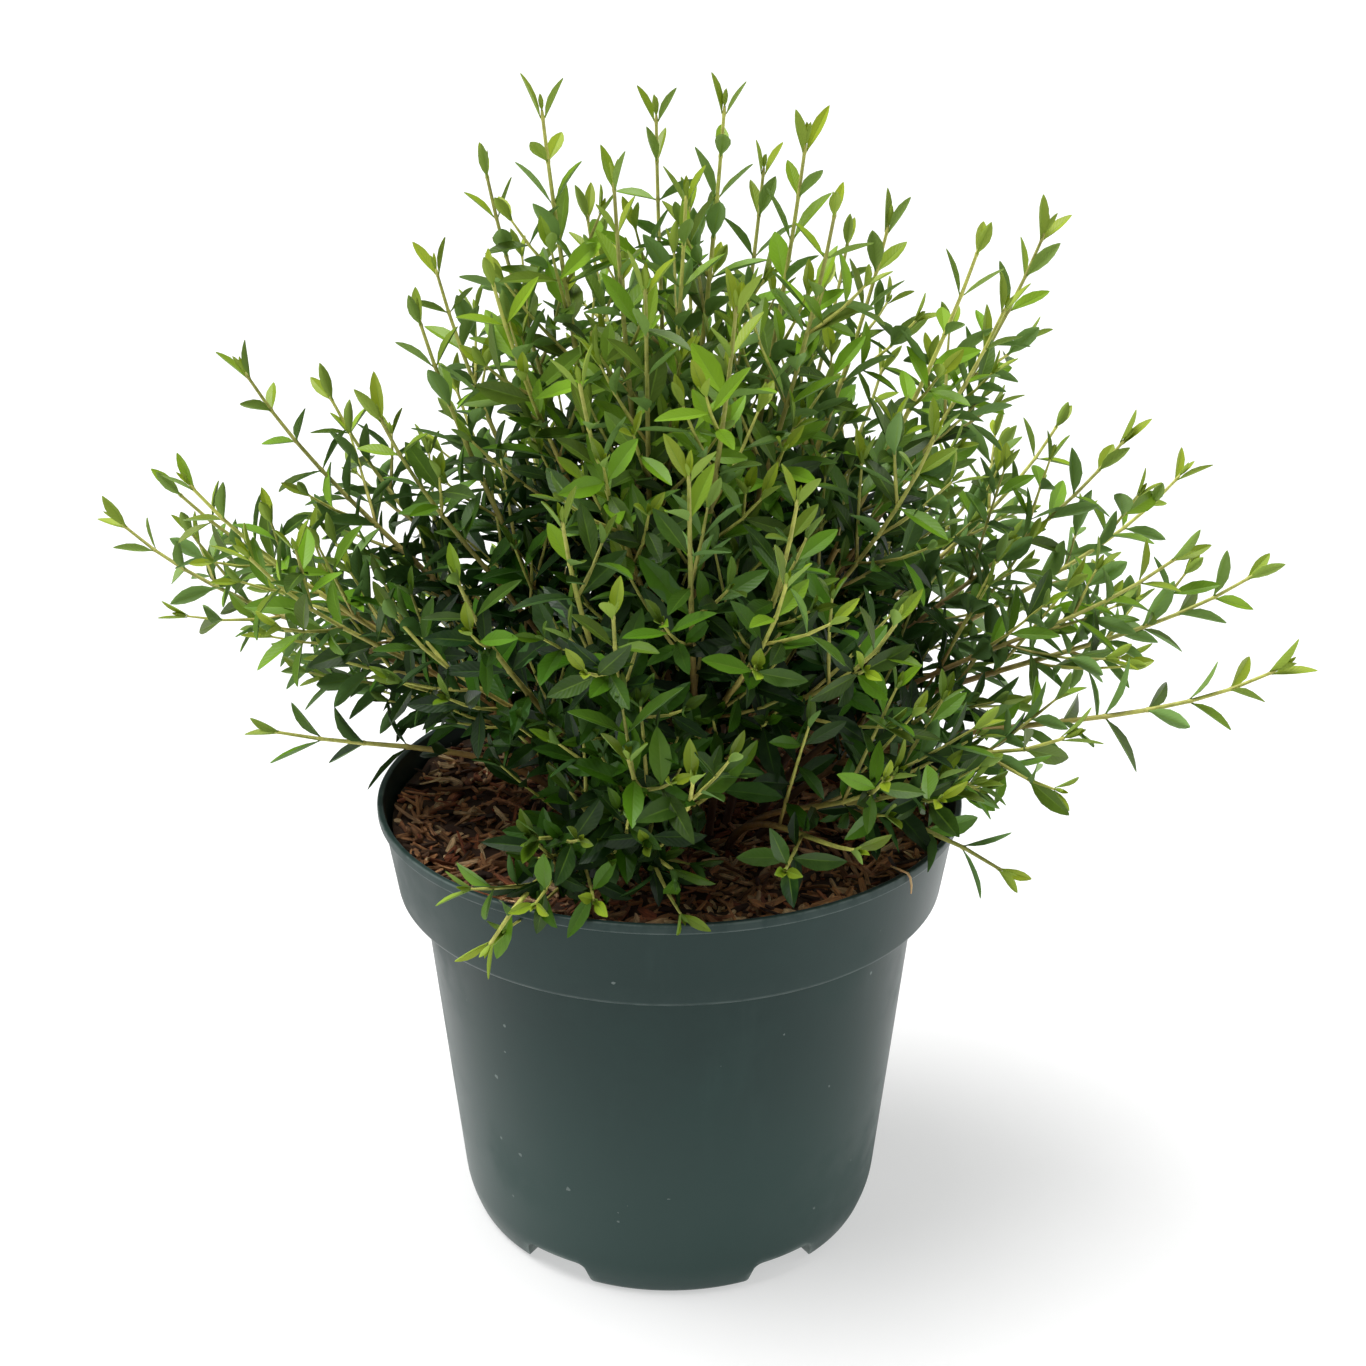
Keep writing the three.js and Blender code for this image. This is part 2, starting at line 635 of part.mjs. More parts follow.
// Every stem's solid, with the twigs and leaf pairs that have room beside the other pieces
function stemSolids (stems, others) {
  const axes = stems.map(({ foot, shoots }) => shoots.map((shoot, k) => {
    const root = k ? null : blend(foot, 1, UP, -STEM_DEPTH)
    const one = axis(shoot, k ? WOOD.forkFoot : WOOD.shootFoot, WOOD.shootTip, root)
    if (!k) one.joins.push(...FORKS.slice(1, shoots.length))
    return one
  }))
  const woods = axes.map(list => new Bits(list.map(one => leafyRod(stationsOf(one, 8)))))
  const leaves = stems.map(() => new Bits())
  const free = (solid, own) => others.clearOf(solid) && leaves[own].clearOf(solid) && stems.every((_, i) =>
    i === own || (woods[i].clearOf(solid) && leaves[i].clearOf(solid)))
  const tryPair = (one, back, own) => {
    const pair = one.wanted.at(-1 - back)
    if (!pair) return false
    const solid = pairTest(pair, one.radius(pair.t))
    if (!free(solid, own)) return false
    leaves[own].add(solid)
    one.kept.push(pair)
    return true
  }
  axes.forEach((list, own) => list.forEach(one => tryPair(one, 0, own)))
  stems.forEach((stem, own) => {
    const all = stem.shoots.flatMap(({ twigs }, shoot) => twigs.map(twig => ({ ...twig, shoot })))
    const twigs = all.sort((a, b) => b.length - a.length)
    let room = TWIGS_PER_STEM
    for (const twig of twigs) {
      const one = axis(twig, WOOD.twigFoot, WOOD.twigTip)
      const wood = leafyRod(stationsOf(one, 1))
      if (!room || !free(wood, own) || !tryPair(one, 0, own)) continue
      woods[own].add(wood)
      axes[own].push(one)
      axes[own][twig.shoot].joins.push(twig.t)
      room--
    }
  })
  stems.forEach((stem, own) => {
    for (const back of PAIRS_DOWN) {
      for (const one of axes[own].slice(0, stem.shoots.length)) {
        if (leaves[own].list.length < PAIRS_PER_STEM) tryPair(one, back, own)
      }
    }
  })
  return axes.map(list => joined(list.map(one => leafyRod(stationsOf(one, PLAIN_STEPS)))))
}

// One body from many, without the scraps and closed hollows that joining can leave
function joined (solids) {
  const bodies = Manifold.union(solids).simplify(0.01).decompose()
  return bodies.reduce((best, body) => body.volume() > best.volume() ? body : best)
}

// Scene graph

function finish (colour, roughness) {
  return new THREE.MeshStandardMaterial({ color: colour, roughness, metalness: 0 })
}

function piece (name, solid, material) {
  const mesh = new THREE.Mesh(geometryFromSolid(solid), material)
  mesh.name = name
  return mesh
}

function pottedMyrtle () {
  const stems = growStems()
  const holes = Manifold.union(stems.map(sleeve))
  const container = pot()
  const soil = growingMedium().subtract(holes)
  const bark = joined([barkMulch().subtract(holes)])
  const solids = stemSolids(stems, new Bits([container, bark]))
  const group = new THREE.Group()
  group.add(
    piece('pot', container, finish(COLOURS.pot, 0.5)),
    piece('growing_medium', soil, finish(COLOURS.soil, 0.95)),
    piece('bark_mulch', bark, finish(COLOURS.bark, 0.85))
  )
  const leafFinish = finish(COLOURS.leaf, 0.45)
  stems.forEach((stem, i) => group.add(piece(`stem_${stem.name}`, solids[i], leafFinish)))
  return group
}

export default pottedMyrtle()
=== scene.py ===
# Potted myrtle: the looks of a bushy myrtle in a nursery pot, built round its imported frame.
# Metres, +Z up, the origin on the ground at the pot's axis. The front faces -Y.
# The shrub's growth is worked out in millimetres, as in the part's own source.
import json
from functools import lru_cache
from math import cos, hypot, pi, radians, sin, sqrt

import bpy
import numpy as np
from bpy.props import FloatProperty, FloatVectorProperty, IntProperty, PointerProperty
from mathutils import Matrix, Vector

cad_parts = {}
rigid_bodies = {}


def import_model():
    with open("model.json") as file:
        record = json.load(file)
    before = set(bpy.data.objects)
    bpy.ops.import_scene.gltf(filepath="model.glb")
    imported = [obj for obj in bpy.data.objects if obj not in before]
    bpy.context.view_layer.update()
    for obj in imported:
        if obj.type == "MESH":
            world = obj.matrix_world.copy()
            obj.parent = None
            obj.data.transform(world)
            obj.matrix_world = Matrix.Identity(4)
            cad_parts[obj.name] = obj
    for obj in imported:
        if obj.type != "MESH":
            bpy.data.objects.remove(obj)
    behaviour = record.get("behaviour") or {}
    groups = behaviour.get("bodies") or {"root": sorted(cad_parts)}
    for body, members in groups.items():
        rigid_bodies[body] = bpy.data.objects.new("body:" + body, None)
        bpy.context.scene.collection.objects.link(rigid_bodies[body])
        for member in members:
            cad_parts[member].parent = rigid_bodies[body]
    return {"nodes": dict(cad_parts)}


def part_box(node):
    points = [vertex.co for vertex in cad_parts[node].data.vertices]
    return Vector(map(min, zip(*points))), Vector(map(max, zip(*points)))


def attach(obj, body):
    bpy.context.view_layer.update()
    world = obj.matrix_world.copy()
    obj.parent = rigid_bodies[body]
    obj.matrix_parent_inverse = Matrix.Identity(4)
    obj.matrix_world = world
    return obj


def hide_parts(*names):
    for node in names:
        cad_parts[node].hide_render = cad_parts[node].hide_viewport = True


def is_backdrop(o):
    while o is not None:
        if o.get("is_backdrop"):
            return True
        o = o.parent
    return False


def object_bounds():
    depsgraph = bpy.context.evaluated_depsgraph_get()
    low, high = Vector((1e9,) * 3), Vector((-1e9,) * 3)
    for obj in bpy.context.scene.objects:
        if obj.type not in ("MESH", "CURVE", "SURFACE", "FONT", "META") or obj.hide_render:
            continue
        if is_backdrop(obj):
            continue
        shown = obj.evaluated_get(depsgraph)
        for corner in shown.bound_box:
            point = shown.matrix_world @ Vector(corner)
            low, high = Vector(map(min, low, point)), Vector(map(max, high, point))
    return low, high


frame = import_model()

CAD_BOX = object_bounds()
POT_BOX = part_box("pot")
MM = 0.001

bl_info = {
    "name": "Potted myrtle",
    "version": (1, 0, 0),
    "blender": (4, 5, 0),
    "location": "3D View > Sidebar > Myrtle",
    "description": "A bushy myrtle with bark mulch in a dark green nursery pot",
    "category": "Object",
}


# Growth of the shrub, in millimetres

MULCH_TOP = 166
MULCH_EDGE_TOP = 168.5
MULCH_HEAP = 4
STEM_DEPTH = 30
STEM_SEED = 7919

# Where the stems leave the soil: how far the clump spreads and how far apart they keep
CLUMP_RADIUS = 45
LEAN_HEIGHT = 40
HALF_LEAN = 0.45
STEM_GAP = 11.5
GAP_ROUNDS = 60

# The path of a shoot: its clearance, where it forks off, and how it rises, sways and ends
ROUTE_GAP = 5
ROUTE_SAMPLES = 48
FIRST_SAMPLE = 3
FORKS = (0, 0.16, 0.24)
SWAYS = (0, 9, -9, 18, -18, 27, -27)
SWAY_START = 0.6
RISE = 0.8
RISE_AT_FORK = 0.5
HANDLES = (0.34, 0.33)
LIFT = 0.28
TURN_UP = 0.6
TUFT = 7
TRAIL_HEIGHT = 222
TRAIL = 0.013

# Leaf pairs in millimetres and degrees, and the twigs beside them
SHOOT = {"leaf": 25, "internode": 15, "bare": 0.20}
FORKED = {"leaf": 25, "internode": 14.5, "bare": 0.12}
TWIG = {"leaf": 20.5, "internode": 12.5, "bare": 0.25}
LAST_PAIR = 0.99
PAIR_TURN = 0.25
PAIR_SCALE = (0.84, 1.12)
PAIR_WIDTH = (0.29, 0.36)
OPENING = 62
OPENING_FALL = 14
OPENING_SPREAD = 16
OPENING_AT_TIP = (16, 28)
LAST_TWIG = 0.78
TWIG_CHANCE = 0.75
SECOND_TWIG = 0.45
TWIG_LENGTH = (20, 54)
TWIG_SCALE = (0.65, 1.25)
TWIG_WAY = {"along": 0.74, "out": 0.67}
TWIG_END = {"along": 0.25, "up": 0.35}
TWIG_HANDLES = (0.35, 0.3)
BARE_STEMS = {"front_low": 0.5, "front_low_right": 0.5, "front_trailing": 0.14, "front_tuft": 0.3,
              "right_low": 0.45, "left_low": 0.5}
TWIGLESS = ("left_low", "right_low", "right_furthest")
LOWEST_LEAVES = {"front_low": 224, "front_low_right": 202}

# Furthest leaf tip of every shoot on each stem
STEMS = {
    "crown_left_tall": [(-45, 0, 446), (-68, 25, 422), (-62, -32, 392)],
    "crown_left_inner": [(-19, -35, 426), (6, -8, 418), (-8, -62, 395)],
    "crown_middle": [(20, 15, 446), (-5, 45, 440), (-34, 98, 396)],
    "crown_middle_back": [(37, 70, 418), (8, 108, 398)],
    "crown_front": [(22, -76, 392), (-30, -82, 368)],
    "crown_right_tall": [(48, -5, 435), (56, -45, 418)],
    "crown_right_outer": [(83, 35, 401), (72, 82, 388)],
    "right_high_front": [(110, -15, 401), (92, -60, 345)],
    "right_high_back": [(146, 55, 395), (128, 25, 372)],
    "left_high_back": [(-93, 65, 380), (-70, 92, 366)],
    "left_high": [(-91, -10, 375), (-104, -35, 345)],
    "left_reaching": [(-166, 35, 345), (-138, 60, 330)],
    "left_spreading": [(-177, -25, 317), (-150, -58, 300)],
    "left_furthest": [(-229, 62, 275), (-190, 5, 305)],
    "left_low": [(-160, -8, 209), (-136, 30, 236)],
    "right_back": [(166, 95, 310), (146, 118, 292)],
    "right_spreading": [(216, 80, 291), (186, 58, 312)],
    "right_reaching": [(230, 8, 270), (194, -12, 284)],
    "right_furthest": [(226, -45, 251), (150, -50, 226)],
    "right_low": [(126, -75, 177), (104, -80, 218)],
    "front_trailing": [(-64, -127, 174), (-48, -106, 210), (4, -111, 197)],
    "front_tuft": [(-36, -92, 226), (-20, -100, 218), (-2, -97, 221)],
    "front_upper": [(6, -110, 345), (38, -120, 312)],
    "front_upper_left": [(-35, -105, 328), (-18, -125, 303)],
    "front_left": [(-72, -90, 303), (-98, -68, 282)],
    "front_upper_right": [(42, -100, 334), (76, -108, 294)],
    "front_low": [(8, -130, 247), (-14, -124, 252)],
    "front_low_right": [(66, -114, 209), (100, -78, 224), (80, -96, 233)],
    "back_high": [(-20, 118, 372), (28, 126, 352)],
    "back_left": [(-92, 110, 322), (-62, 132, 292)],
    "back_right": [(92, 114, 330), (62, 132, 300)],
    "back_low_left": [(-118, 100, 242), (-90, 126, 226)],
    "back_low_right": [(124, 104, 246), (98, 124, 220)],
    "back_low": [(2, 133, 252), (24, 128, 215)],
}


# Small helpers

def vector(x, y, z):
    return np.array([x, y, z], float)


UP = vector(0, 0, 1)


def turns(count):
    """Angles that go once round in equal steps."""
    return np.arange(count) * 2 * pi / count


def size(a):
    return float(np.sqrt(a @ a))


def unit(a):
    return a / size(a)


def blend(low, high, part):
    return low + (high - low) * part


def smooth(value, low, high):
    part = min(1, max(0, (value - low) / (high - low)))
    return part * part * (3 - 2 * part)


def seeded(seed):
    """Draws of numbers that are the same each run."""
    state = [seed]

    def draw(low=0.0, high=1.0):
        state[0] = state[0] * 16807 % 2147483647
        return low + (high - low) * state[0] / 2147483647

    for _ in range(3):
        draw()
    return draw


class Arc:
    """A smooth path through four control points."""

    def __init__(self, *points):
        self.points = points

    def at(self, t):
        a, b, c, d = self.points
        s = 1 - t
        return a * s**3 + b * 3 * s * s * t + c * 3 * s * t * t + d * t**3

    def tangent(self, t):
        a, b, c, d = self.points
        s = 1 - t
        return unit((b - a) * s * s + (c - b) * 2 * s * t + (d - c) * t * t)

    def length(self):
        steps = [self.at(i / 16) for i in range(17)]
        return sum(size(b - a) for a, b in zip(steps, steps[1:]))


def stem_feet():
    """Where each stem leaves the soil: out of the clump's middle the further its shoots lean."""
    feet = []
    for tips in STEMS.values():
        x, y, z = (sum(axis) / len(tips) for axis in zip(*tips))
        lean = hypot(x, y) / (z - MULCH_TOP + LEAN_HEIGHT)
        radius = CLUMP_RADIUS * lean / (lean + HALF_LEAN)
        feet.append(vector(x, y, 0) * radius / hypot(x, y) + UP * MULCH_TOP)
    for _ in range(GAP_ROUNDS):
        for i in range(len(feet)):
            for j in range(i):
                apart = feet[i] - feet[j]
                short = STEM_GAP - size(apart)
                if short > 0:
                    push = unit(apart) * short / 2
                    feet[i] = feet[i] + push
                    feet[j] = feet[j] - push
    return feet


def route(start, tip, sway, leave=None):
    """A shoot's path from its start to just short of its furthest leaf tip."""
    reach = tip - start
    far = size(reach)
    way = unit(reach)
    across = unit(vector(-way[1], way[0], 0))
    trail = TRAIL * max(0, TRAIL_HEIGHT - tip[2])
    turn_up = 0 if trail else TURN_UP * abs(way[1])
    into_tip = unit(way + UP * (LIFT * way[2] + turn_up - trail))
    rise = unit(way * RISE + UP)
    if leave is not None:
        rise = unit(rise * RISE_AT_FORK + leave)
    end = tip - into_tip * TUFT
    first = start + rise * far * HANDLES[0] + across * sway * SWAY_START
    return Arc(start, first, end - into_tip * far * HANDLES[1] + across * sway, end)


def clear_route(start, tip, others, leave=None):
    """The first of the sways that keeps a shoot clear of the stems already there."""
    for sway in SWAYS:
        arc = route(start, tip, sway, leave)
        samples = np.array([arc.at(i / ROUTE_SAMPLES) for i in range(FIRST_SAMPLE, ROUTE_SAMPLES + 1)])
        gaps = (np.linalg.norm(samples[:, None] - other[None], axis=2).min() for other in others)
        if all(gap > ROUTE_GAP for gap in gaps):
            break
    return arc, samples


def leaf_pairs(arc, outward, kind, bare, draw):
    """Opposite leaves up a shoot, each pair turned a quarter from the last."""
    count = max(2, round(arc.length() * (1 - bare) / kind["internode"]))
    roll = draw(0, pi)
    flat = vector(-outward[1], outward[0], 0)
    pairs = []
    for i in range(count + 1):
        part = i / count
        t = bare + (LAST_PAIR - bare) * part
        along = arc.tangent(t)
        side = unit(flat - along * float(flat @ along))
        turn = roll + i * pi / 2 + draw(-PAIR_TURN, PAIR_TURN)
        out = side * cos(turn) + np.cross(side, along) * sin(turn)
        grown = 0.8 + 0.2 * sin(pi * min(1, part * 1.2))
        at_tip = 1 - 0.25 * max(0, (part - 0.8) / 0.2)
        length = kind["leaf"] * grown * at_tip * draw(*PAIR_SCALE)
        opening = radians(OPENING - OPENING_FALL * part + draw(-OPENING_SPREAD, OPENING_SPREAD))
        if i == count:
            opening = radians(draw(*OPENING_AT_TIP))
        width = length * draw(*PAIR_WIDTH)
        pairs.append({"foot": arc.at(t), "along": along, "out": out, "opening": opening,
                      "length": length, "width": width, "part": part, "t": t})
    return pairs


def twigs_of(outward, pairs, draw):
    """Side twigs in the leaf axils: none by the topmost leaves, often two by the lower ones."""
    twigs = []
    for i, pair in enumerate(pairs):
        first = 1 if i % 2 else -1
        for half in (first, -first):
            chance = TWIG_CHANCE if half == first else SECOND_TWIG * (1 - pair["part"])
            if pair["part"] > LAST_TWIG or draw() > chance:
                continue
            length = blend(*TWIG_LENGTH, 1 - pair["part"]) * draw(*TWIG_SCALE)
            way = unit(pair["along"] * TWIG_WAY["along"] + pair["out"] * half * TWIG_WAY["out"])
            end_way = unit(way + pair["along"] * TWIG_END["along"] + UP * TWIG_END["up"])
            foot = pair["foot"]
            tip = foot + unit(way + end_way) * length
            handles = (way * length * TWIG_HANDLES[0], end_way * length * TWIG_HANDLES[1])
            arc = Arc(foot, foot + handles[0], tip - handles[1], tip)
            pairs_here = leaf_pairs(arc, outward, TWIG, TWIG["bare"], draw)
            twigs.append({"arc": arc, "t": pair["t"], "pairs": pairs_here})
    return twigs


@lru_cache(maxsize=None)
def grow():
    """Every stem with its shoots, their side twigs and the leaf pairs on both."""
    stems, taken = [], []
    feet = stem_feet()
    for i, (name, tips) in enumerate(STEMS.items()):
        draw = seeded(STEM_SEED * (i + 1))
        outward = unit(vector(tips[0][0], tips[0][1], 0))
        shoots, lines = [], []
        for k, tip in enumerate(tips):
            start, leave = feet[i], None
            if k:
                parent = shoots[0]["arc"]
                start, leave = parent.at(FORKS[k]), parent.tangent(FORKS[k])
            arc, line = clear_route(start, vector(*tip), taken, leave)
            kind = FORKED if k else SHOOT
            pairs = leaf_pairs(arc, outward, kind, BARE_STEMS.get(name, kind["bare"]), draw)
            twigs = twigs_of(outward, pairs, draw) if k or name not in TWIGLESS else []
            lowest = LOWEST_LEAVES.get(name, 0)
            shoots.append({"arc": arc, "pairs": [pair for pair in pairs if pair["foot"][2] > lowest],
                           "twigs": [twig for twig in twigs if twig["arc"].at(1)[2] > lowest]})
            lines.append(line)
        taken += lines
        stems.append({"name": name, "foot": feet[i], "shoots": shoots})
    return stems


# Settings that a user would change

def srgb(red, green, blue):
    """A screen colour, 0 to 255 a channel, as the linear colour that shaders take."""
    parts = (c / 255 for c in (red, green, blue))
    return tuple(p / 12.92 if p <= 0.04045 else ((p + 0.055) / 1.055) ** 2.4 for p in parts)


def colour(name, description, red, green, blue):
    return FloatVectorProperty(name=name, description=description, subtype="COLOR",
                               size=3, min=0, max=1, default=srgb(red, green, blue))


def length(name, description, default):
    return FloatProperty(name=name, description=description, default=default,
                         min=0, subtype="DISTANCE", unit="LENGTH", precision=4)


def share(name, description, default):
    return FloatProperty(name=name, description=description, default=default,
                         min=0, max=1, subtype="FACTOR")


class PotSettings(bpy.types.PropertyGroup):
    """Sizes and colours of the nursery pot."""

    rim_radius: length("Rim radius", "Outer radius of the lip", POT_BOX[1].x)
    height: length("Height", "From the ground to the top of the lip", POT_BOX[1].z)
    lip_height: length("Lip height", "Height of the bead round the rim", 4 * MM)
    lip_width: length("Lip width", "Width of the flat top of the rim", 2.4 * MM)
    collar_top_radius: length("Collar top radius", "Radius just under the lip", 113 * MM)
    collar_foot_radius: length("Collar foot radius", "Radius at the collar's lower edge", 108.2 * MM)
    collar_foot: length("Collar foot height", "Height of the collar's lower edge", 145 * MM)
    body_top_radius: length("Body top radius", "Radius of the body under the collar", 98.9 * MM)
    body_top: length("Body top height", "Height where the body meets the collar", 142 * MM)
    body_foot_radius: length("Body foot radius", "Radius of the body above the feet", 86.2 * MM)
    body_foot: length("Body foot height", "Height where the wall turns in to the feet", 10 * MM)
    foot_outer_radius: length("Foot outer radius", "Outer radius of the ring of feet", 82.5 * MM)
    foot_inner_radius: length("Foot inner radius", "Inner radius of the ring of feet", 74 * MM)
    notch_low: length("Notch width below", "Gap between two feet at the ground", 30 * MM)
    notch_high: length("Notch width above", "Gap between two feet at its top", 27 * MM)
    floor_height: length("Floor height", "Underside of the floor above the ground", 11 * MM)
    floor_thickness: length("Floor thickness", "Thickness of the floor", 1.8 * MM)
    wall: length("Wall", "Thickness of the wall", 1.6 * MM)
    drain_radius: length("Drain hole radius", "Radius of each hole in the floor", 6 * MM)
    drain_ring: length("Drain hole ring", "Distance of the outer holes from the axis", 60 * MM)
    plastic: colour("Plastic", "Main colour of the wall", 30, 51, 48)
    # Also laid over the pot's lower part, lighter towards the ground: painted light.
    chalky_and_lit_plastic: colour("Worn plastic", "Colour where the wall is chalky", 54, 76, 72)
    # Also laid on the pot's sharp edges: partly wear, partly a painted highlight.
    scuff_and_highlight: colour("Scuff", "Colour of scratches and worn edges", 122, 134, 130)
    grime: colour("Grime", "Colour of the dark marks and dirt", 14, 17, 15)
    roughness: share("Roughness", "Roughness of the satin plastic", 0.4)
    gloss: share("Gloss", "Strength of the plastic's sheen", 0.18)


class MulchSettings(bpy.types.PropertyGroup):
    """Sizes and colours of the bark mulch and the soil under it."""

    chips: IntProperty(name="Chips", description="Number of bark chips", default=2300, min=1)
    crumbs: IntProperty(name="Crumbs", description="Number of small bits", default=420, min=0)
    chip_length: length("Chip length", "Length of the longest chips", 18 * MM)
    chip_width: length("Chip width", "Width of the widest chips", 3.8 * MM)
    dark: colour("Dark bark", "Weathered wet bark", 56, 36, 24)
    brown: colour("Brown bark", "Common chips", 210, 148, 96)
    tan: colour("Tan bark", "Pale split wood", 252, 214, 160)
    red: colour("Red bark", "Fresh inner bark", 178, 94, 56)
    soil: colour("Soil", "Peat under the mulch", 34, 24, 18)
    straw: colour("Straw", "The dry bit on the rim", 186, 160, 112)


class WoodSettings(bpy.types.PropertyGroup):
    """Thicknesses and colours of the stems and twigs."""

    foot_radius: length("Foot radius", "Radius of a stem where it leaves the soil", 1.75 * MM)
    fork_radius: length("Fork radius", "Radius of a forked shoot at its start", 1.25 * MM)
    tip_radius: length("Tip radius", "Radius of a shoot under its last leaves", 0.62 * MM)
    twig_radius: length("Twig radius", "Radius of a twig at its start", 0.7 * MM)
    twig_tip_radius: length("Twig tip radius", "Radius of a twig at its end", 0.42 * MM)
    old: colour("Old wood", "Bark of the stems near the soil", 78, 52, 34)
    ripe: colour("Ripening wood", "Reddish two-year-old wood", 150, 112, 60)
    young: colour("Young wood", "Shoots of this year", 188, 190, 92)


class LeafSettings(bpy.types.PropertyGroup):
    """Shape and colours of the leaves."""

    thickness: length("Thickness", "Thickness of a blade at its midrib", 0.42 * MM)
    fold: share("Fold", "How far a blade's sides are folded up", 0.2)
    arch: share("Arch", "How far a blade bends back towards its tip", 0.1)
    ripe: colour("Ripe leaf", "Upper side of a full-grown leaf", 107, 156, 26)
    dark: colour("Dark leaf", "Upper side of an old leaf", 20, 58, 18)
    young: colour("Young leaf", "Leaves at the tips of shoots", 154, 172, 42)
    under: colour("Underside", "Paler side of a full-grown leaf", 114, 152, 84)
    rib: colour("Midrib", "Line along the middle of a leaf", 122, 156, 50)
    roughness: share("Roughness", "Roughness of the upper side", 0.38)
    deep_tint: colour("Deep shade", "What the light inside the crown leaves of a colour", 84, 130, 80)
    gloss: share("Gloss", "Strength of the leaves' sheen", 0.25)


class StageSettings(bpy.types.PropertyGroup):
    """Floor, light and camera."""

    floor: colour("Floor", "Colour of the pale floor", 190, 190, 190)
    floor_glow: share("Floor glow", "How far the floor is lit from within", 0.5)
    floor_size: length("Floor size", "Length of the floor's sides", 60)
    world: FloatProperty(name="World light", description="Strength of the white surroundings",
                         default=0.26, min=0)
    sun: FloatProperty(name="Sky light", description="Strength of the wide soft light from above",
                       default=4.2, min=0)
    sun_angle: FloatProperty(name="Sky light angle", description="How wide the soft light is",
                             default=radians(46), subtype="ANGLE", unit="ROTATION")
    side: FloatProperty(name="Side lights", description="Power of the soft light at each side",
                        default=3, min=0, unit="POWER")
    camera_place: FloatVectorProperty(name="Camera place", description="Where the camera stands",
                                      size=3, subtype="TRANSLATION", unit="LENGTH",
                                      default=(0, -0.7008, 0.5048))
    camera_pitch: FloatProperty(name="Camera pitch", description="How far the camera looks down",
                                default=radians(21.8), subtype="ANGLE", unit="ROTATION")
    lens: FloatProperty(name="Lens", description="Focal length in millimetres", default=51.2, min=1)


# Meshes

def mesh_of(name, points, face_sets):
    """A smooth mesh from points and arrays of faces, one array for each count of corners."""
    mesh = bpy.data.meshes.new(name)
    mesh.vertices.add(len(points))
    mesh.vertices.foreach_set("co", np.asarray(points, np.float32).ravel())
    corners = np.concatenate([faces.ravel() for faces in face_sets]).astype(np.int32)
    counts = np.concatenate([np.full(len(faces), faces.shape[1]) for faces in face_sets])
    mesh.loops.add(len(corners))
    mesh.loops.foreach_set("vertex_index", corners)
    mesh.polygons.add(len(counts))
    mesh.polygons.foreach_set("loop_start", (np.cumsum(counts) - counts).astype(np.int32))
    mesh.update(calc_edges=True)
    mesh.shade_smooth()
    return mesh


def add_layer(mesh, name, domain, values):
    """Keeps three numbers for each point or face corner, for the materials."""
    layer = mesh.attributes.new(name, "FLOAT_VECTOR", domain)
    layer.data.foreach_set("vector", np.asarray(values, np.float32).ravel())


def sharpen(mesh, sharp_points):
    """Marks the edges that join two of the given points as sharp."""
    ends = np.zeros(len(mesh.edges) * 2, np.int32)
    mesh.edges.foreach_get("vertices", ends)
    sharp = sharp_points[ends.reshape(-1, 2)].all(axis=1)
    layer = mesh.attributes.new("sharp_edge", "BOOLEAN", "EDGE")
    layer.data.foreach_set("value", sharp)


def piece(name, mesh, material, slot, *nodes):
    """Adds a mesh to the object: it moves with the root body and stands for the CAD nodes given."""
    made = bpy.data.objects.new(name, mesh)
    bpy.context.scene.collection.objects.link(made)
    mesh.materials.clear()
    mesh.materials.append(material)
    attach(made, "root")
    if nodes:
        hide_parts(*nodes)


def tube_faces(rings, sides):
    """Quads of a tube's wall and the two polygons that close its ends."""
    ring = np.arange(rings - 1)[:, None] * sides
    k = np.arange(sides)[None]
    following = (k + 1) % sides
    wall = np.stack([ring + k, ring + following, ring + sides + following, ring + sides + k], -1)
    low = np.arange(sides)[::-1][None]
    high = (rings - 1) * sides + np.arange(sides)[None]
    return [wall.reshape(-1, 4), low, high]


def tube_rings(places, ways, radii, sides):
    """Points of round rings along a line, each turned as little as can be from the last."""
    side = np.cross(ways[0], UP if abs(ways[0][2]) < 0.9 else vector(1, 0, 0))
    around = turns(sides)
    rings = []
    for place, way, radius in zip(places, ways, radii):
        side = unit(side - way * float(side @ way))
        lift = np.cross(way, side)
        rings.append(place + radius * (np.cos(around)[:, None] * side + np.sin(around)[:, None] * lift))
    return np.concatenate(rings)


class Gathered:
    """Points, faces and point values of many small closed bodies, for one mesh."""

    def __init__(self):
        self.points, self.values, self.faces, self.count = [], {}, {}, 0

    def add(self, points, face_sets, **values):
        for faces in face_sets:
            self.faces.setdefault(faces.shape[1], []).append(faces + self.count)
        for name, value in values.items():
            rows = np.broadcast_to(np.asarray(value, float), (len(points), 3))
            self.values.setdefault(name, []).append(rows)
        self.points.append(points)
        self.count += len(points)

    def mesh(self, name):
        face_sets = [np.concatenate(faces) for faces in self.faces.values()]
        mesh = mesh_of(name, np.concatenate(self.points) * MM, face_sets)
        for layer, rows in self.values.items():
            add_layer(mesh, layer, "POINT", np.concatenate(rows))
        return mesh


# Shader nodes

def give(tree, socket, value):
    """Sets a socket to a value, or joins another node's output to it."""
    if isinstance(value, bpy.types.NodeSocket):
        tree.links.new(value, socket)
    elif hasattr(socket.default_value, "__len__") and len(value) == 3:
        socket.default_value = (*value, 1)[:len(socket.default_value)]
    else:
        socket.default_value = value


def node(tree, kind, inputs=None, **settings):
    """Adds a shader node with its settings and with what its sockets are given."""
    made = tree.nodes.new("ShaderNode" + kind)
    for name, value in settings.items():
        setattr(made, name, value)
    for key, value in (inputs or {}).items():
        give(tree, made.inputs[key], value)
    return made


def maths(tree, operation, a, b=0.0):
    return node(tree, "Math", {0: a, 1: b}, operation=operation).outputs[0]


def times(tree, a, b):
    return maths(tree, "MULTIPLY", a, b)


def plus(tree, a, b):
    return maths(tree, "ADD", a, b)


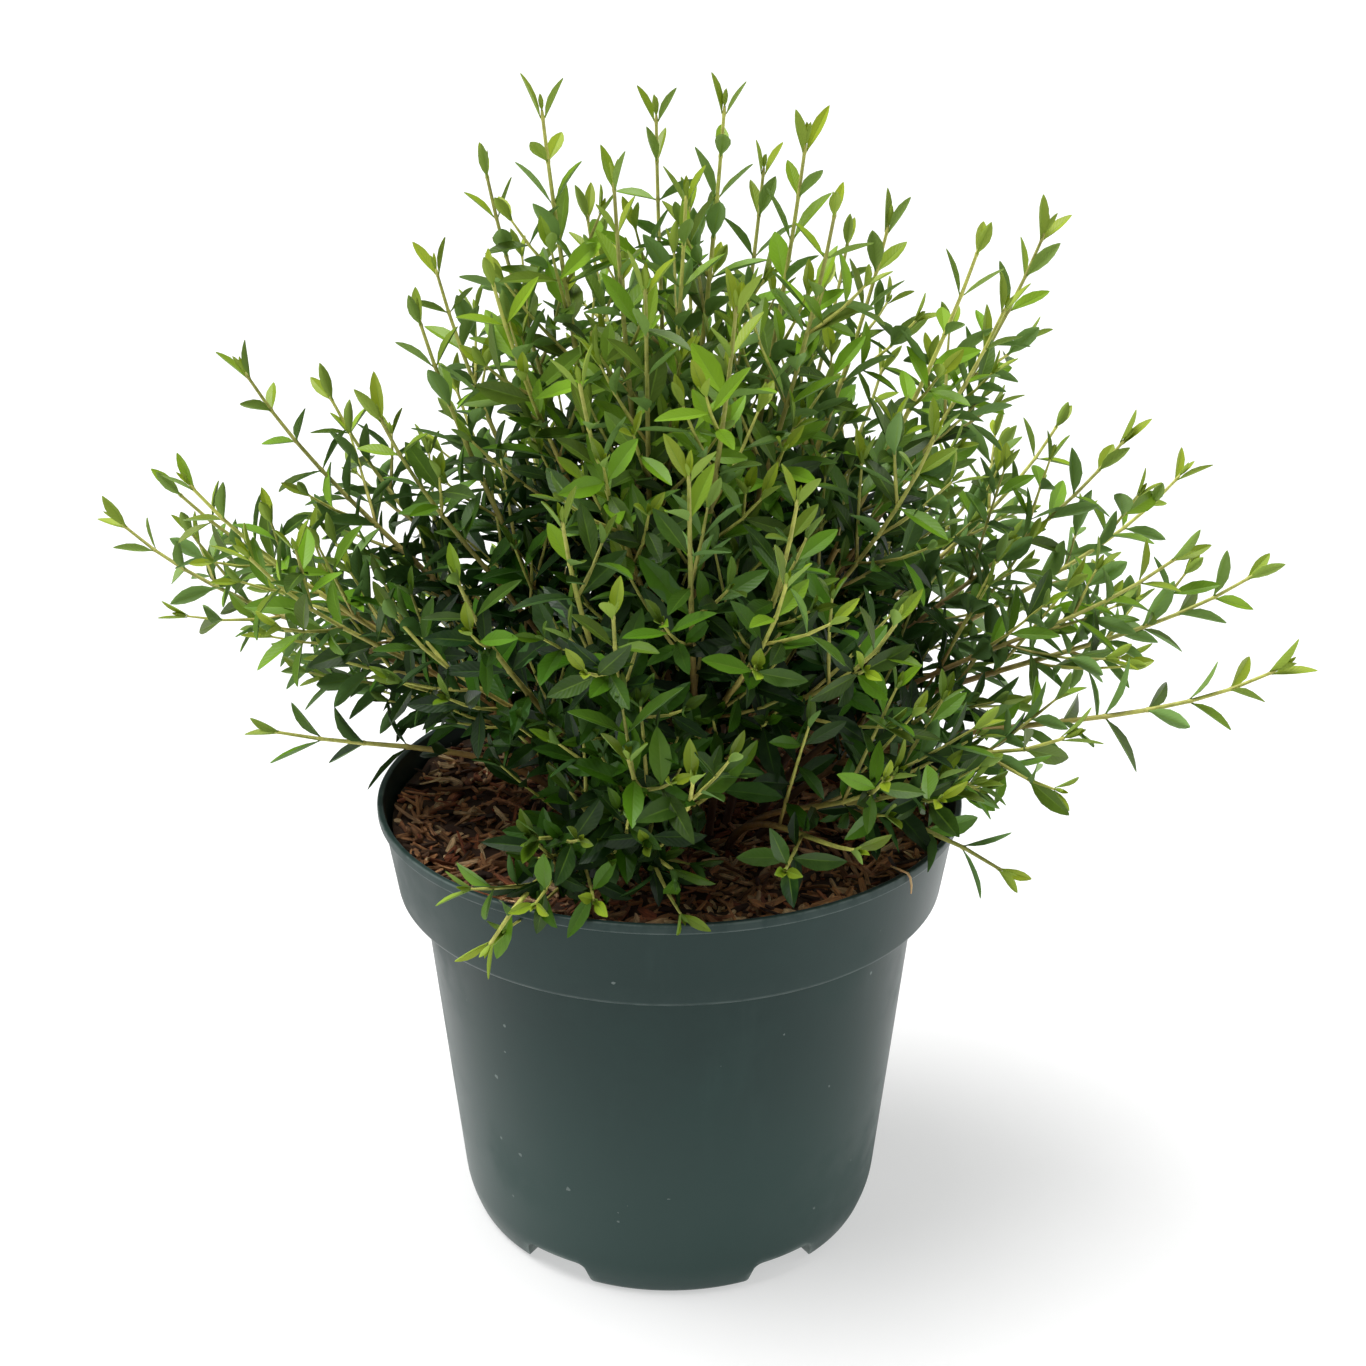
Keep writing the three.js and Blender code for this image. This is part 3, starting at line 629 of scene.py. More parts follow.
def mixed(tree, part, a, b, way="MIX"):
    """Colour a with colour b laid over it by part."""
    made = node(tree, "Mix", {0: part, 6: a, 7: b}, data_type="RGBA", blend_type=way)
    return made.outputs[2]


def tinted(tree, base, mask, strength, tint):
    """The base with a tint laid over it where the mask is, at this strength."""
    return mixed(tree, times(tree, mask, strength), base, tint)


def ramp(tree, value, low, high, to_low=0.0, to_high=1.0):
    """A smooth step of value from low to high."""
    inputs = {"Value": value, "From Min": low, "From Max": high, "To Min": to_low, "To Max": to_high}
    return node(tree, "MapRange", inputs, interpolation_type="SMOOTHSTEP").outputs[0]


def layer_parts(tree, name):
    """The three numbers that a mesh keeps under this name."""
    kept = node(tree, "Attribute", attribute_name=name)
    return node(tree, "SeparateXYZ", {0: kept.outputs["Vector"]}).outputs


def shader_group(name, inputs, outputs, fill):
    """A node group with named sockets, made once. fill returns the value of each output."""
    tree = bpy.data.node_groups.get(name)
    if tree is None:
        tree = bpy.data.node_groups.new(name, "ShaderNodeTree")
        for socket, default in inputs.items():
            kind = "NodeSocketVector" if isinstance(default, tuple) else "NodeSocketFloat"
            made = tree.interface.new_socket(socket, in_out="INPUT", socket_type=kind)
            made.default_value = default
        for socket in outputs:
            tree.interface.new_socket(socket, in_out="OUTPUT", socket_type="NodeSocketFloat")
        entry = tree.nodes.new("NodeGroupInput")
        leave = tree.nodes.new("NodeGroupOutput")
        for socket, value in zip(outputs, fill(tree, entry.outputs)):
            tree.links.new(value, leave.inputs[socket])
    return tree


def use_group(tree, group, **inputs):
    """The one output of a node group that is given these inputs."""
    return node(tree, "Group", inputs, node_tree=group).outputs[0]


def mottle_group():
    """Soft patches of noise on the object, cut between a low and a high level."""
    def fill(tree, given):
        place = node(tree, "TexCoord").outputs["Object"]
        moved = node(tree, "VectorMath", {0: place, 1: given["Stretch"]}, operation="MULTIPLY")
        noise = node(tree, "TexNoise", {"Vector": moved.outputs[0], "Scale": given["Scale"],
                                        "Detail": given["Detail"], "Roughness": 0.6})
        return [ramp(tree, noise.outputs[0], given["Low"], given["High"])]

    inputs = {"Scale": 40.0, "Detail": 3.0, "Stretch": (1.0, 1.0, 1.0), "Low": 0.4, "High": 0.6}
    return shader_group("Mottle", inputs, ["Mask"], fill)


def mottle(tree, scale, detail, low, high, stretch=(1.0, 1.0, 1.0)):
    """A mask of soft patches."""
    return use_group(tree, mottle_group(), Scale=scale, Detail=detail, Stretch=stretch,
                     Low=low, High=high)


def speck_group():
    """Small round specks on the object. Share is the part of the cells that hold one."""
    def fill(tree, given):
        place = node(tree, "TexCoord").outputs["Object"]
        noise = node(tree, "TexNoise", {"Vector": place, "Scale": 900.0})
        bent = node(tree, "VectorMath", {0: noise.outputs["Color"], "Scale": 0.0012}, operation="SCALE")
        moved = node(tree, "VectorMath", {0: place, 1: bent.outputs[0]}, operation="ADD")
        cells = node(tree, "TexVoronoi", {"Vector": moved.outputs[0], "Scale": given["Scale"]})
        chosen = node(tree, "SeparateXYZ", {0: cells.outputs["Color"]}).outputs
        reach = times(tree, given["Size"], chosen[1])
        inside = maths(tree, "LESS_THAN", cells.outputs["Distance"], reach)
        kept = maths(tree, "LESS_THAN", chosen[0], given["Share"])
        return [times(tree, inside, kept)]

    return shader_group("Specks", {"Scale": 300.0, "Size": 0.2, "Share": 0.1}, ["Mask"], fill)


def specks(tree, scale, width, part):
    """A mask of small round specks."""
    return use_group(tree, speck_group(), Scale=scale, Size=width, Share=part)


def fibre_group():
    """Long thin fibres along the first axis of the vector given."""
    def fill(tree, given):
        thin = node(tree, "VectorMath", {0: given["Vector"], 1: (0.12, 1.0, 1.0)}, operation="MULTIPLY")
        noise = node(tree, "TexNoise", {"Vector": thin.outputs[0], "Scale": given["Scale"],
                                        "Detail": 4.0, "Roughness": 0.7})
        return [ramp(tree, noise.outputs[0], 0.36, 0.64)]

    return shader_group("Fibres", {"Vector": (0.0, 0.0, 0.0), "Scale": 1.4}, ["Mask"], fill)


def new_material(name):
    """An empty material with its Principled shader joined to the output."""
    material = bpy.data.materials.new(name)
    material.use_nodes = True
    tree = material.node_tree
    tree.nodes.clear()
    shader = node(tree, "BsdfPrincipled")
    node(tree, "OutputMaterial", {"Surface": shader.outputs[0]})
    return material, tree, shader


def feed(tree, shader, base, roughness, height=None, depth=0.0001, strength=1.0):
    """Gives the shader its colour, roughness and relief."""
    give(tree, shader.inputs["Base Color"], base)
    give(tree, shader.inputs["Roughness"], roughness)
    if height is not None:
        bump = node(tree, "Bump", {"Strength": strength, "Distance": depth, "Height": height})
        tree.links.new(bump.outputs[0], shader.inputs["Normal"])


# Finishes

@lru_cache(maxsize=None)
def pot_finish():
    """Satin dark green plastic, chalky in patches, with scratches and dirt; painted light makes it
    lighter towards the bottom, and its pale edges are partly wear, partly a painted highlight.
    """
    look = bpy.context.scene.myrtle.pot
    material, tree, shader = new_material("Pot plastic")
    chalk = mottle(tree, 16.0, 4.0, 0.38, 0.75)
    base = tinted(tree, look.plastic, chalk, 0.3, look.chalky_and_lit_plastic)
    height = node(tree, "SeparateXYZ", {0: node(tree, "TexCoord").outputs["Object"]}).outputs[2]
    # Painted light: the wall is made lighter towards the ground.
    base = mixed(tree, ramp(tree, height, 0.02, 0.14, 0.75, 0.0), base, look.chalky_and_lit_plastic)
    streaks = mottle(tree, 60.0, 5.0, 0.56, 0.8, stretch=(1.0, 1.0, 0.12))
    base = tinted(tree, base, streaks, 0.22, look.chalky_and_lit_plastic)
    # Pale sharp edges: partly real wear, partly a painted highlight.
    edge = ramp(tree, node(tree, "NewGeometry").outputs["Pointiness"], 0.505, 0.56)
    rubbed = mottle(tree, 140.0, 4.0, 0.35, 0.62)
    worn_and_highlit = times(tree, edge, plus(tree, times(tree, rubbed, 0.5), 0.25))
    base = mixed(tree, worn_and_highlit, base, look.scuff_and_highlight)
    base = tinted(tree, base, specks(tree, 260.0, 0.26, 0.035), 0.6, look.scuff_and_highlight)
    base = tinted(tree, base, specks(tree, 120.0, 0.2, 0.02), 0.85, look.grime)
    grain = mottle(tree, 1400.0, 2.0, 0.2, 0.8)
    relief = plus(tree, times(tree, grain, 0.35), times(tree, chalk, 0.4))
    rough = ramp(tree, chalk, 0.0, 1.0, look.roughness - 0.05, look.roughness + 0.14)
    shader.inputs["Specular IOR Level"].default_value = look.gloss
    feed(tree, shader, base, rough, relief, depth=0.00012, strength=0.35)
    return material


@lru_cache(maxsize=None)
def soil_finish():
    """Dark peat with pale crumbs."""
    look = bpy.context.scene.myrtle.mulch
    material, tree, shader = new_material("Soil")
    lumps = mottle(tree, 220.0, 5.0, 0.3, 0.7)
    base = mixed(tree, lumps, look.soil, look.dark)
    base = mixed(tree, specks(tree, 420.0, 0.3, 0.06), base, look.brown)
    feed(tree, shader, base, 0.95, lumps, depth=0.0012)
    return material


@lru_cache(maxsize=None)
def bark_finish():
    """Split bark: each chip keeps a shade and a hue, with fibres along it."""
    look = bpy.context.scene.myrtle.mulch
    material, tree, shader = new_material("Bark")
    shade, hue, _ = layer_parts(tree, "chip")
    grain = node(tree, "Attribute", attribute_name="grain").outputs["Vector"]
    fibres = use_group(tree, fibre_group(), Vector=grain, Scale=1.5)
    base = mixed(tree, ramp(tree, shade, 0.05, 0.55), look.dark, look.brown)
    base = mixed(tree, ramp(tree, shade, 0.6, 1.0), base, look.tan)
    base = mixed(tree, ramp(tree, hue, 0.62, 0.9, 0.0, 0.75), base, look.red)
    base = tinted(tree, base, fibres, 0.55, look.dark)
    wet = mottle(tree, 55.0, 3.0, 0.45, 0.7)
    base = tinted(tree, base, wet, 0.4, look.dark)
    rough = ramp(tree, wet, 0.0, 1.0, 0.88, 0.6)
    feed(tree, shader, base, rough, fibres, depth=0.0005, strength=0.8)
    return material


@lru_cache(maxsize=None)
def straw_finish():
    """Dry pale straw."""
    look = bpy.context.scene.myrtle.mulch
    material, tree, shader = new_material("Straw")
    patches = mottle(tree, 500.0, 3.0, 0.35, 0.65)
    base = tinted(tree, look.straw, patches, 0.5, look.brown)
    feed(tree, shader, base, 0.7, patches, depth=0.0002)
    return material


@lru_cache(maxsize=None)
def wood_finish():
    """Brown bark that turns reddish and then yellow-green up each shoot."""
    look = bpy.context.scene.myrtle.wood
    material, tree, shader = new_material("Wood")
    age, tone, _ = layer_parts(tree, "wood")
    base = mixed(tree, ramp(tree, age, 0.05, 0.3), look.old, look.ripe)
    base = mixed(tree, ramp(tree, age, 0.35, 0.85), base, look.young)
    patches = mottle(tree, 260.0, 4.0, 0.4, 0.65)
    base = tinted(tree, base, patches, 0.6, mixed(tree, 0.45, base, look.old))
    base = mixed(tree, 1.0, base, ramp(tree, tone, 0.0, 1.0, 0.75, 1.2), "MULTIPLY")
    feed(tree, shader, base, 0.55, patches, depth=0.0003, strength=0.6)
    return material


@lru_cache(maxsize=None)
def leaf_finish():
    """Glossy leaves with a pale midrib, faint veins and a paler matt underside, darkened and tinted by
    painted shade deep in the crown.
    """
    look = bpy.context.scene.myrtle.leaf
    material, tree, shader = new_material("Leaf")
    young, tone, deep = layer_parts(tree, "leaf")
    along, side, under = layer_parts(tree, "place")
    off_middle = maths(tree, "ABSOLUTE", side)
    patches = mottle(tree, 180.0, 3.0, 0.35, 0.7)
    top = mixed(tree, ramp(tree, tone, 0.2, 0.8), look.dark, look.ripe)
    top = mixed(tree, young, top, look.young)
    top = tinted(tree, top, patches, 0.4, mixed(tree, 0.3, top, look.rib))
    paler = tinted(tree, look.under, young, 0.7, look.young)
    base = mixed(tree, under, top, paler)
    rib = times(tree, ramp(tree, off_middle, 0.03, 0.12, 1.0, 0.0),
                ramp(tree, along, 0.6, 0.95, 0.45, 0.0))
    base = mixed(tree, rib, base, look.rib)
    # Painted shade: leaves deep in the crown or low under its edge are darkened and tinted.
    shaded = mixed(tree, 1.0, base, look.deep_tint, "MULTIPLY")
    base = mixed(tree, ramp(tree, deep, 0.0, 1.0), base, shaded)
    slant = plus(tree, along, times(tree, off_middle, -0.22))
    veins = maths(tree, "SINE", times(tree, slant, 62.0))
    relief = plus(tree, times(tree, veins, 0.25), times(tree, rib, -1.0))
    gloss = plus(tree, times(tree, under, 0.26), look.roughness)
    rough = plus(tree, gloss, times(tree, patches, 0.08))
    shader.inputs["Specular IOR Level"].default_value = look.gloss
    feed(tree, shader, base, rough, relief, depth=0.00012, strength=0.5)
    return material


# Pot

NOTCH_TURNS = (32, 90, 148, 212, 270, 328)
NOTCH_DEPTH = 30 * MM
DRAIN_SIDES = 24
POT_COLUMNS = 192
ROUND_STEPS = 4


def rounded(points):
    """Corners of a profile given as radius, height and how far each is rounded off."""
    smoothed = []
    for i, (radius, height, cut) in enumerate(points):
        here = np.array([radius, height])
        if not cut:
            smoothed.append(here)
            continue
        before = np.array(points[i - 1][:2]) - here
        after = np.array(points[i + 1][:2]) - here
        start = here + before / np.hypot(*before) * cut
        end = here + after / np.hypot(*after) * cut
        for k in range(ROUND_STEPS + 1):
            t = k / ROUND_STEPS
            smoothed.append(start * (1 - t) ** 2 + here * 2 * t * (1 - t) + end * t * t)
    return smoothed


def pot_profile(pot):
    """The wall's outline, from the middle of its underside round to the middle of its floor."""
    floor_top = pot.floor_height + pot.floor_thickness
    slope = (pot.body_top_radius - pot.body_foot_radius) / (pot.body_top - pot.body_foot)
    inner_foot = pot.body_foot_radius - pot.wall + slope * (floor_top - pot.body_foot)
    lip_foot = pot.height - pot.lip_height
    edge = 0.8 * MM
    return rounded([
        (0, pot.floor_height, 0),
        (pot.foot_inner_radius - 1.2 * MM, pot.floor_height, 0.5 * MM),
        (pot.foot_inner_radius, 0, edge),
        (pot.foot_outer_radius, 0, 3 * MM),
        (pot.body_foot_radius, pot.body_foot, 5 * MM),
        (pot.body_top_radius, pot.body_top, 0.6 * MM),
        (pot.collar_foot_radius, pot.collar_foot, 1.6 * MM),
        (pot.collar_top_radius, lip_foot, 0.3 * MM),
        (pot.rim_radius, lip_foot + 0.4 * MM, edge),
        (pot.rim_radius, pot.height, edge),
        (pot.rim_radius - pot.lip_width, pot.height, edge),
        (pot.collar_foot_radius - pot.wall, pot.collar_foot + pot.wall, edge),
        (pot.body_top_radius - pot.wall, pot.body_top + pot.wall / 2, edge),
        (inner_foot, floor_top, edge),
        (0, floor_top, 0),
    ])


def turned(profile, columns):
    """A closed turned mesh whose profile starts and ends on the axis."""
    around = turns(columns)
    inner = np.array(profile[1:-1])
    rings = np.stack([inner[:, 0, None] * np.cos(around), inner[:, 0, None] * np.sin(around),
                      np.repeat(inner[:, 1, None], columns, 1)], -1).reshape(-1, 3)
    ends = np.array([[0, 0, profile[0][1]], [0, 0, profile[-1][1]]])
    k = np.arange(columns)
    following = (k + 1) % columns
    last = (len(inner) - 1) * columns
    wall = tube_faces(len(inner), columns)[0]
    low, high = len(rings), len(rings) + 1
    caps = np.concatenate([
        np.stack([np.full(columns, low), following, k], -1),
        np.stack([np.full(columns, high), last + k, last + following], -1)])
    return np.concatenate([rings, ends]), [wall, caps]


def prism(outline, depth, place, turn):
    """A closed prism: an outline in X and Z, pushed depth along Y, moved and turned about Z."""
    count = len(outline)
    flat = np.array(outline[::-1])
    rings = [np.stack([flat[:, 0], np.full(count, y), flat[:, 1]], -1) for y in (0, depth)]
    points = np.concatenate(rings) + place
    c, s = cos(turn), sin(turn)
    points = points @ np.array([[c, s, 0], [-s, c, 0], [0, 0, 1]])
    return points, tube_faces(2, count)


def notch_outline(pot):
    """The gap between two feet: slanting sides, round at the top and flared at the ground."""
    low, high, top = pot.notch_low / 2, pot.notch_high / 2, pot.floor_height - 0.2 * MM
    flare = low + 4 * MM
    right = rounded([(flare, -1 * MM, 0), (low, 0.8 * MM, 2.4 * MM), (high, top, 3.6 * MM),
                     (0, top, 0)])[:-1]
    left = [(-x, z) for x, z in reversed(right)]
    return [tuple(point) for point in right] + left


def cut_out(target, cutters):
    """Cuts closed meshes out of the target mesh and returns the result."""
    scene = bpy.context.scene.collection
    body = bpy.data.objects.new("target", target)
    tools = bpy.data.collections.new("cutters")
    scene.objects.link(body)
    scene.children.link(tools)
    for cutter in cutters:
        tools.objects.link(bpy.data.objects.new("cutter", cutter))
    cut = body.modifiers.new("cut", "BOOLEAN")
    cut.operand_type = "COLLECTION"
    cut.collection = tools
    cut.operation = "DIFFERENCE"
    cut.solver = "MANIFOLD"
    shown = body.evaluated_get(bpy.context.evaluated_depsgraph_get())
    result = bpy.data.meshes.new_from_object(shown)
    for used in [body, *tools.objects]:
        bpy.data.objects.remove(used)
    bpy.data.collections.remove(tools)
    return result


def build_pot(pot):
    """The pot's wall and floor, with the notches and drain holes cut out."""
    wall = mesh_of("pot_wall", *turned(pot_profile(pot), POT_COLUMNS))
    cutters = []
    outline = notch_outline(pot)
    start = (0, pot.foot_inner_radius - 8 * MM, 0)
    hole = [(pot.drain_radius * cos(a), pot.drain_radius * sin(a)) for a in turns(DRAIN_SIDES)]
    places = [(0, 0)]
    for angle in map(radians, NOTCH_TURNS):
        cutters.append(mesh_of("notch", *prism(outline, NOTCH_DEPTH, start, angle)))
        places.append((-pot.drain_ring * sin(angle), pot.drain_ring * cos(angle)))
    for x, y in places:
        rings = [[(x + a, y + b, pot.floor_height + z) for a, b in hole] for z in (-4 * MM, 8 * MM)]
        cutters.append(mesh_of("drain", np.concatenate(rings), tube_faces(2, len(hole))))
    shape = cut_out(wall, cutters)
    shape.name = "pot_wall"
    shape.shade_smooth()
    shape.set_sharp_from_angle(angle=radians(38))
    piece("nursery_pot", shape, pot_finish(), "pot", "pot")


# Mulch

GOLDEN_ANGLE = pi * (3 - sqrt(5))
MULCH_SEED = 4021
MULCH_RADIUS = 109.5
MULCH_BOTTOM = 156.5
MULCH_EDGE = 115
HEAPED_UP = (82, 110)
BED_RINGS = 26
BED_COLUMNS = 110
BED_WAVES = 24
BED_WAVE_HEIGHT = 0.22
BED_BELOW_CHIPS = 0.8
BED_FOOT_RADIUS = MULCH_RADIUS * 0.985
CHIP_SIDES = 6
CHIP_SECTIONS = (-1, -0.72, 0.05, 0.7, 1)
CHIP_REACH = 107
CRUMB_REACH = 108
SHORTEST_CHIP = 0.32
WIDEST_FOR_LENGTH = 0.42

# The straw's places from the rim: outward, sideways and up, in millimetres
STRAW_TURN = -42
STRAW_BENDS = ((-6, -1.6, 1.9), (-2.5, -0.8, 1.3), (0.2, 0, 0.75), (1.1, 0.7, -1.2),
               (1.3, 1.4, -4.5), (1.1, 1.7, -8))
STRAW_RADII = (0.35, 0.5, 0.5, 0.45, 0.42, 0.25)
STRAW_SIDES = 6


def mulch_height(radius):
    """Height of the mulch at a distance from the axis, in millimetres: heaped up at the wall."""
    level = blend(MULCH_TOP, MULCH_EDGE_TOP, radius / MULCH_EDGE)
    return level + MULCH_HEAP * smooth(radius, *HEAPED_UP)


def mulch_bed(gathered, draw):
    """The crumbly layer under the chips: a closed disc with an uneven top."""
    radii = np.linspace(1, 0, BED_RINGS, endpoint=False) * MULCH_RADIUS
    around = turns(BED_COLUMNS)
    waves = [(draw(0.05, 0.5), draw(0.05, 0.5), draw(0, 2 * pi)) for _ in range(BED_WAVES)]
    top = []
    for radius in radii:
        x, y = radius * np.cos(around), radius * np.sin(around)
        lumps = sum(np.sin(a * x + b * y + c) for a, b, c in waves) * BED_WAVE_HEIGHT
        top.append(np.stack([x, y, mulch_height(radius) - BED_BELOW_CHIPS + lumps], -1))
    foot = np.stack([BED_FOOT_RADIUS * np.cos(around), BED_FOOT_RADIUS * np.sin(around),
                     np.full(BED_COLUMNS, MULCH_BOTTOM)], -1)
    points = np.concatenate([foot, *top])
    gathered.add(points, tube_faces(BED_RINGS + 1, BED_COLUMNS), chip=(0.12, 0.3, 0), grain=points * 0.6)


def chip_section(draw):
    """An uneven outline across a chip, one unit wide and high."""
    around = turns(CHIP_SIDES) + draw(-0.3, 0.3)
    spread = np.array([draw(0.75, 1.15) for _ in range(CHIP_SIDES)])
    return np.cos(around) * spread, np.sin(around) * spread


def add_chip(gathered, draw, i, count, reach, sizes, colours):
    """One split sliver of bark, bent and twisted a little, in its own place on the layer."""
    long, wide, thick = sizes
    sections = []
    across, up = chip_section(draw)
    bend, twist, skew = draw(-0.10, 0.10), draw(-0.5, 0.5), draw(-0.3, 0.3)
    tapers = (draw(0.15, 0.7), draw(0.7, 1.0), 1.0, draw(0.7, 1.0), draw(0.12, 0.7))
    for x, taper in zip(CHIP_SECTIONS, tapers):
        turn = twist * x
        y = across * wide * taper * cos(turn) - up * thick * sqrt(taper) * sin(turn)
        z = across * wide * taper * sin(turn) + up * thick * sqrt(taper) * cos(turn)
        jag = np.array([draw(-0.06, 0.06) for _ in range(CHIP_SIDES)]) * long
        sections.append(np.stack([x * long + jag + y * skew, y, z + bend * long * x * x], -1))
    local = np.concatenate(sections)
    yaw, pitch, roll = draw(0, 2 * pi), draw(-0.5, 0.5), draw(-0.7, 0.7)
    around = i * GOLDEN_ANGLE + draw(-0.2, 0.2)
    radius = reach * sqrt((i + draw()) / count)
    place = vector(radius * cos(around), radius * sin(around), mulch_height(radius) + draw(-1.2, 2.2))
    points = local @ rotation(roll, pitch, yaw) + place
    over = np.hypot(points[:, 0], points[:, 1]).max() - MULCH_RADIUS
    if over > 0:
        points[:, 0] -= over * cos(around)
        points[:, 1] -= over * sin(around)
    gathered.add(points, tube_faces(len(CHIP_SECTIONS), CHIP_SIDES), chip=colours,
                 grain=local + (draw(0, 90), draw(0, 90), draw(0, 90)))


def rotation(roll, pitch, yaw):
    """Turns row vectors about X, then Y, then Z."""
    cr, sr, cp, sp, cy, sy = cos(roll), sin(roll), cos(pitch), sin(pitch), cos(yaw), sin(yaw)
    about_x = np.array([[1, 0, 0], [0, cr, sr], [0, -sr, cr]])
    about_y = np.array([[cp, 0, -sp], [0, 1, 0], [sp, 0, cp]])
    about_z = np.array([[cy, sy, 0], [-sy, cy, 0], [0, 0, 1]])
    return about_x @ about_y @ about_z


def chip_colours(draw):
    """A chip's shade and hue: mostly brown, some dark, some tan and some red."""
    shade = min(1, max(0, 0.5 + (draw() + draw() + draw() - 1.5) * 0.62))
    return shade, draw(), draw()


def build_mulch(mulch):
    """The bed with its chips, from long slivers to crumbs, as one mesh."""
    draw = seeded(MULCH_SEED)
    gathered = Gathered()
    mulch_bed(gathered, draw)
    for i in range(mulch.chips):
        long = blend(SHORTEST_CHIP, 1, draw() ** 1.6) * mulch.chip_length / MM / 2
        wide = draw(0.3, 1) * mulch.chip_width / MM / 2
        sizes = (long, min(wide, long * WIDEST_FOR_LENGTH), draw(0.45, 1.05))
        add_chip(gathered, draw, i, mulch.chips, CHIP_REACH, sizes, chip_colours(draw))
    for i in range(mulch.crumbs):
        sizes = (draw(1.2, 2.8), draw(0.5, 1.4), draw(0.4, 0.9))
        add_chip(gathered, draw, i, mulch.crumbs, CRUMB_REACH, sizes, chip_colours(draw))
    mesh = gathered.mesh("mulch")
    mesh.set_sharp_from_angle(angle=radians(50))
    piece("bark_chips", mesh, bark_finish(), "bark", "bark_mulch")


def build_straw(rim):
    """A dry bent bit of straw that hangs over the rim at the front right."""
    angle = radians(STRAW_TURN)
    out = vector(cos(angle), sin(angle), 0)
    side = vector(-sin(angle), cos(angle), 0)
    edge, top = rim.rim_radius / MM, rim.height / MM
    places = [out * (edge + far) + side * shift + UP * (top + rise) for far, shift, rise in STRAW_BENDS]
    ways = [unit(b - a) for a, b in zip(places, places[1:])]
    ways.append(ways[-1])
    gathered = Gathered()
    rings = tube_rings(places, ways, STRAW_RADII, STRAW_SIDES)
    gathered.add(rings, tube_faces(len(places), STRAW_SIDES))
    piece("straw", gathered.mesh("straw"), straw_finish(), "bark")


# Shrub

WOOD_SEED = 31337
LEAF_SEED = 60013

# Where the crown is shaded and where it is in the light, by height, reach or share of the crown
CROWN_MIDDLE = vector(0, 10, 225)
CROWN_REACH = vector(175, 125, 160)
SHADE_FADES = (0.35, 0.95)
SHADE_HEIGHT = (255, 360)
SHADE_REACH = (95, 140)
SHADE_UNDER = 0.75
LIGHT_HEIGHT = (270, 350)
LIGHT_REACH = (120, 170)

# What leaves keep clear of
POT_LIP_INNER = 108.5
POT_LIP_OUTER = 117
POT_TOP = 182.5
OVER_MULCH = 1.5
BLADE_CHECKS = (0.1, 0.4, 0.7, 1)

# Leaves: how far off the wood they start, where they turn young, and how much each varies
SHOOT_LEAVES = {"off": 0.7, "young_from": 0.76}
TWIG_LEAVES = {"off": 0.45, "young_from": 0.66}
YOUNG_FULLY = 1.04
OPENING_VARIES = 0.16
ROLL_VARIES = 0.5
LENGTH_VARIES = (0.9, 1.08)
WIDTH_VARIES = (0.92, 1.08)
BEND_VARIES = (-0.02, 0.2)
TWIST_VARIES = 0.4
PLAIN_DEPTH = 0.62
BEND = 2.2
USUAL_ARCH = 0.1
PETIOLE_WIDTH = 0.11

# Grades of blade, full and plain: rings along the length, and points across the top
GRADES = {
    True: ((0, 0.08, 0.24, 0.46, 0.68, 0.86, 0.96), (-1, -0.55, 0, 0.55, 1)),
    False: ((0, 0.08, 0.3, 0.62, 0.88), (-1, 0, 1)),
}

# Wood: sides of a tube, the swelling at a leaf pair and the thinning at the end
SHOOT_SIDES = 7
TWIG_SIDES = 5
SWELL = 1.28
SWELL_REACH = 1.1
END_SHARE = 0.7
BARE_STEP = 9


def depth_in_crown(place):
    """How far a place lies in the crown's painted shade: 0 at the outside of the crown, 1 well inside it
    or low under its edge.
    """
    out = (place - CROWN_MIDDLE) / CROWN_REACH
    low = 1 - smooth(place[2], *SHADE_HEIGHT)
    under = SHADE_UNDER * low * (1 - smooth(hypot(place[0], place[1]), *SHADE_REACH))
    return max(1 - smooth(size(out), *SHADE_FADES), under)


def in_the_light(place):
    """1 high in the crown and far out at its sides, where leaves are yellower, and 0 low in it."""
    return max(smooth(place[2], *LIGHT_HEIGHT), smooth(hypot(place[0], place[1]), *LIGHT_REACH))


def meets_pot(place):
    """Whether a point is in the pot's wall or under the mulch."""
    radius = hypot(place[0], place[1])
    if radius > POT_LIP_OUTER or place[2] > POT_TOP:
        return False
    return radius > POT_LIP_INNER or place[2] < mulch_height(radius) + OVER_MULCH


def leaf_of(foot, along, out, opening, roll, length, width, off):
    """A blade's start and its three directions, for one side of a stem."""
    way = along * cos(opening) + out * sin(opening)
    level = along * sin(opening) - out * cos(opening)
    face = level * cos(roll) + np.cross(level, way) * sin(roll)
    return {"start": foot + out * off, "way": way, "face": face,
            "across": np.cross(face, way), "length": length, "width": width}


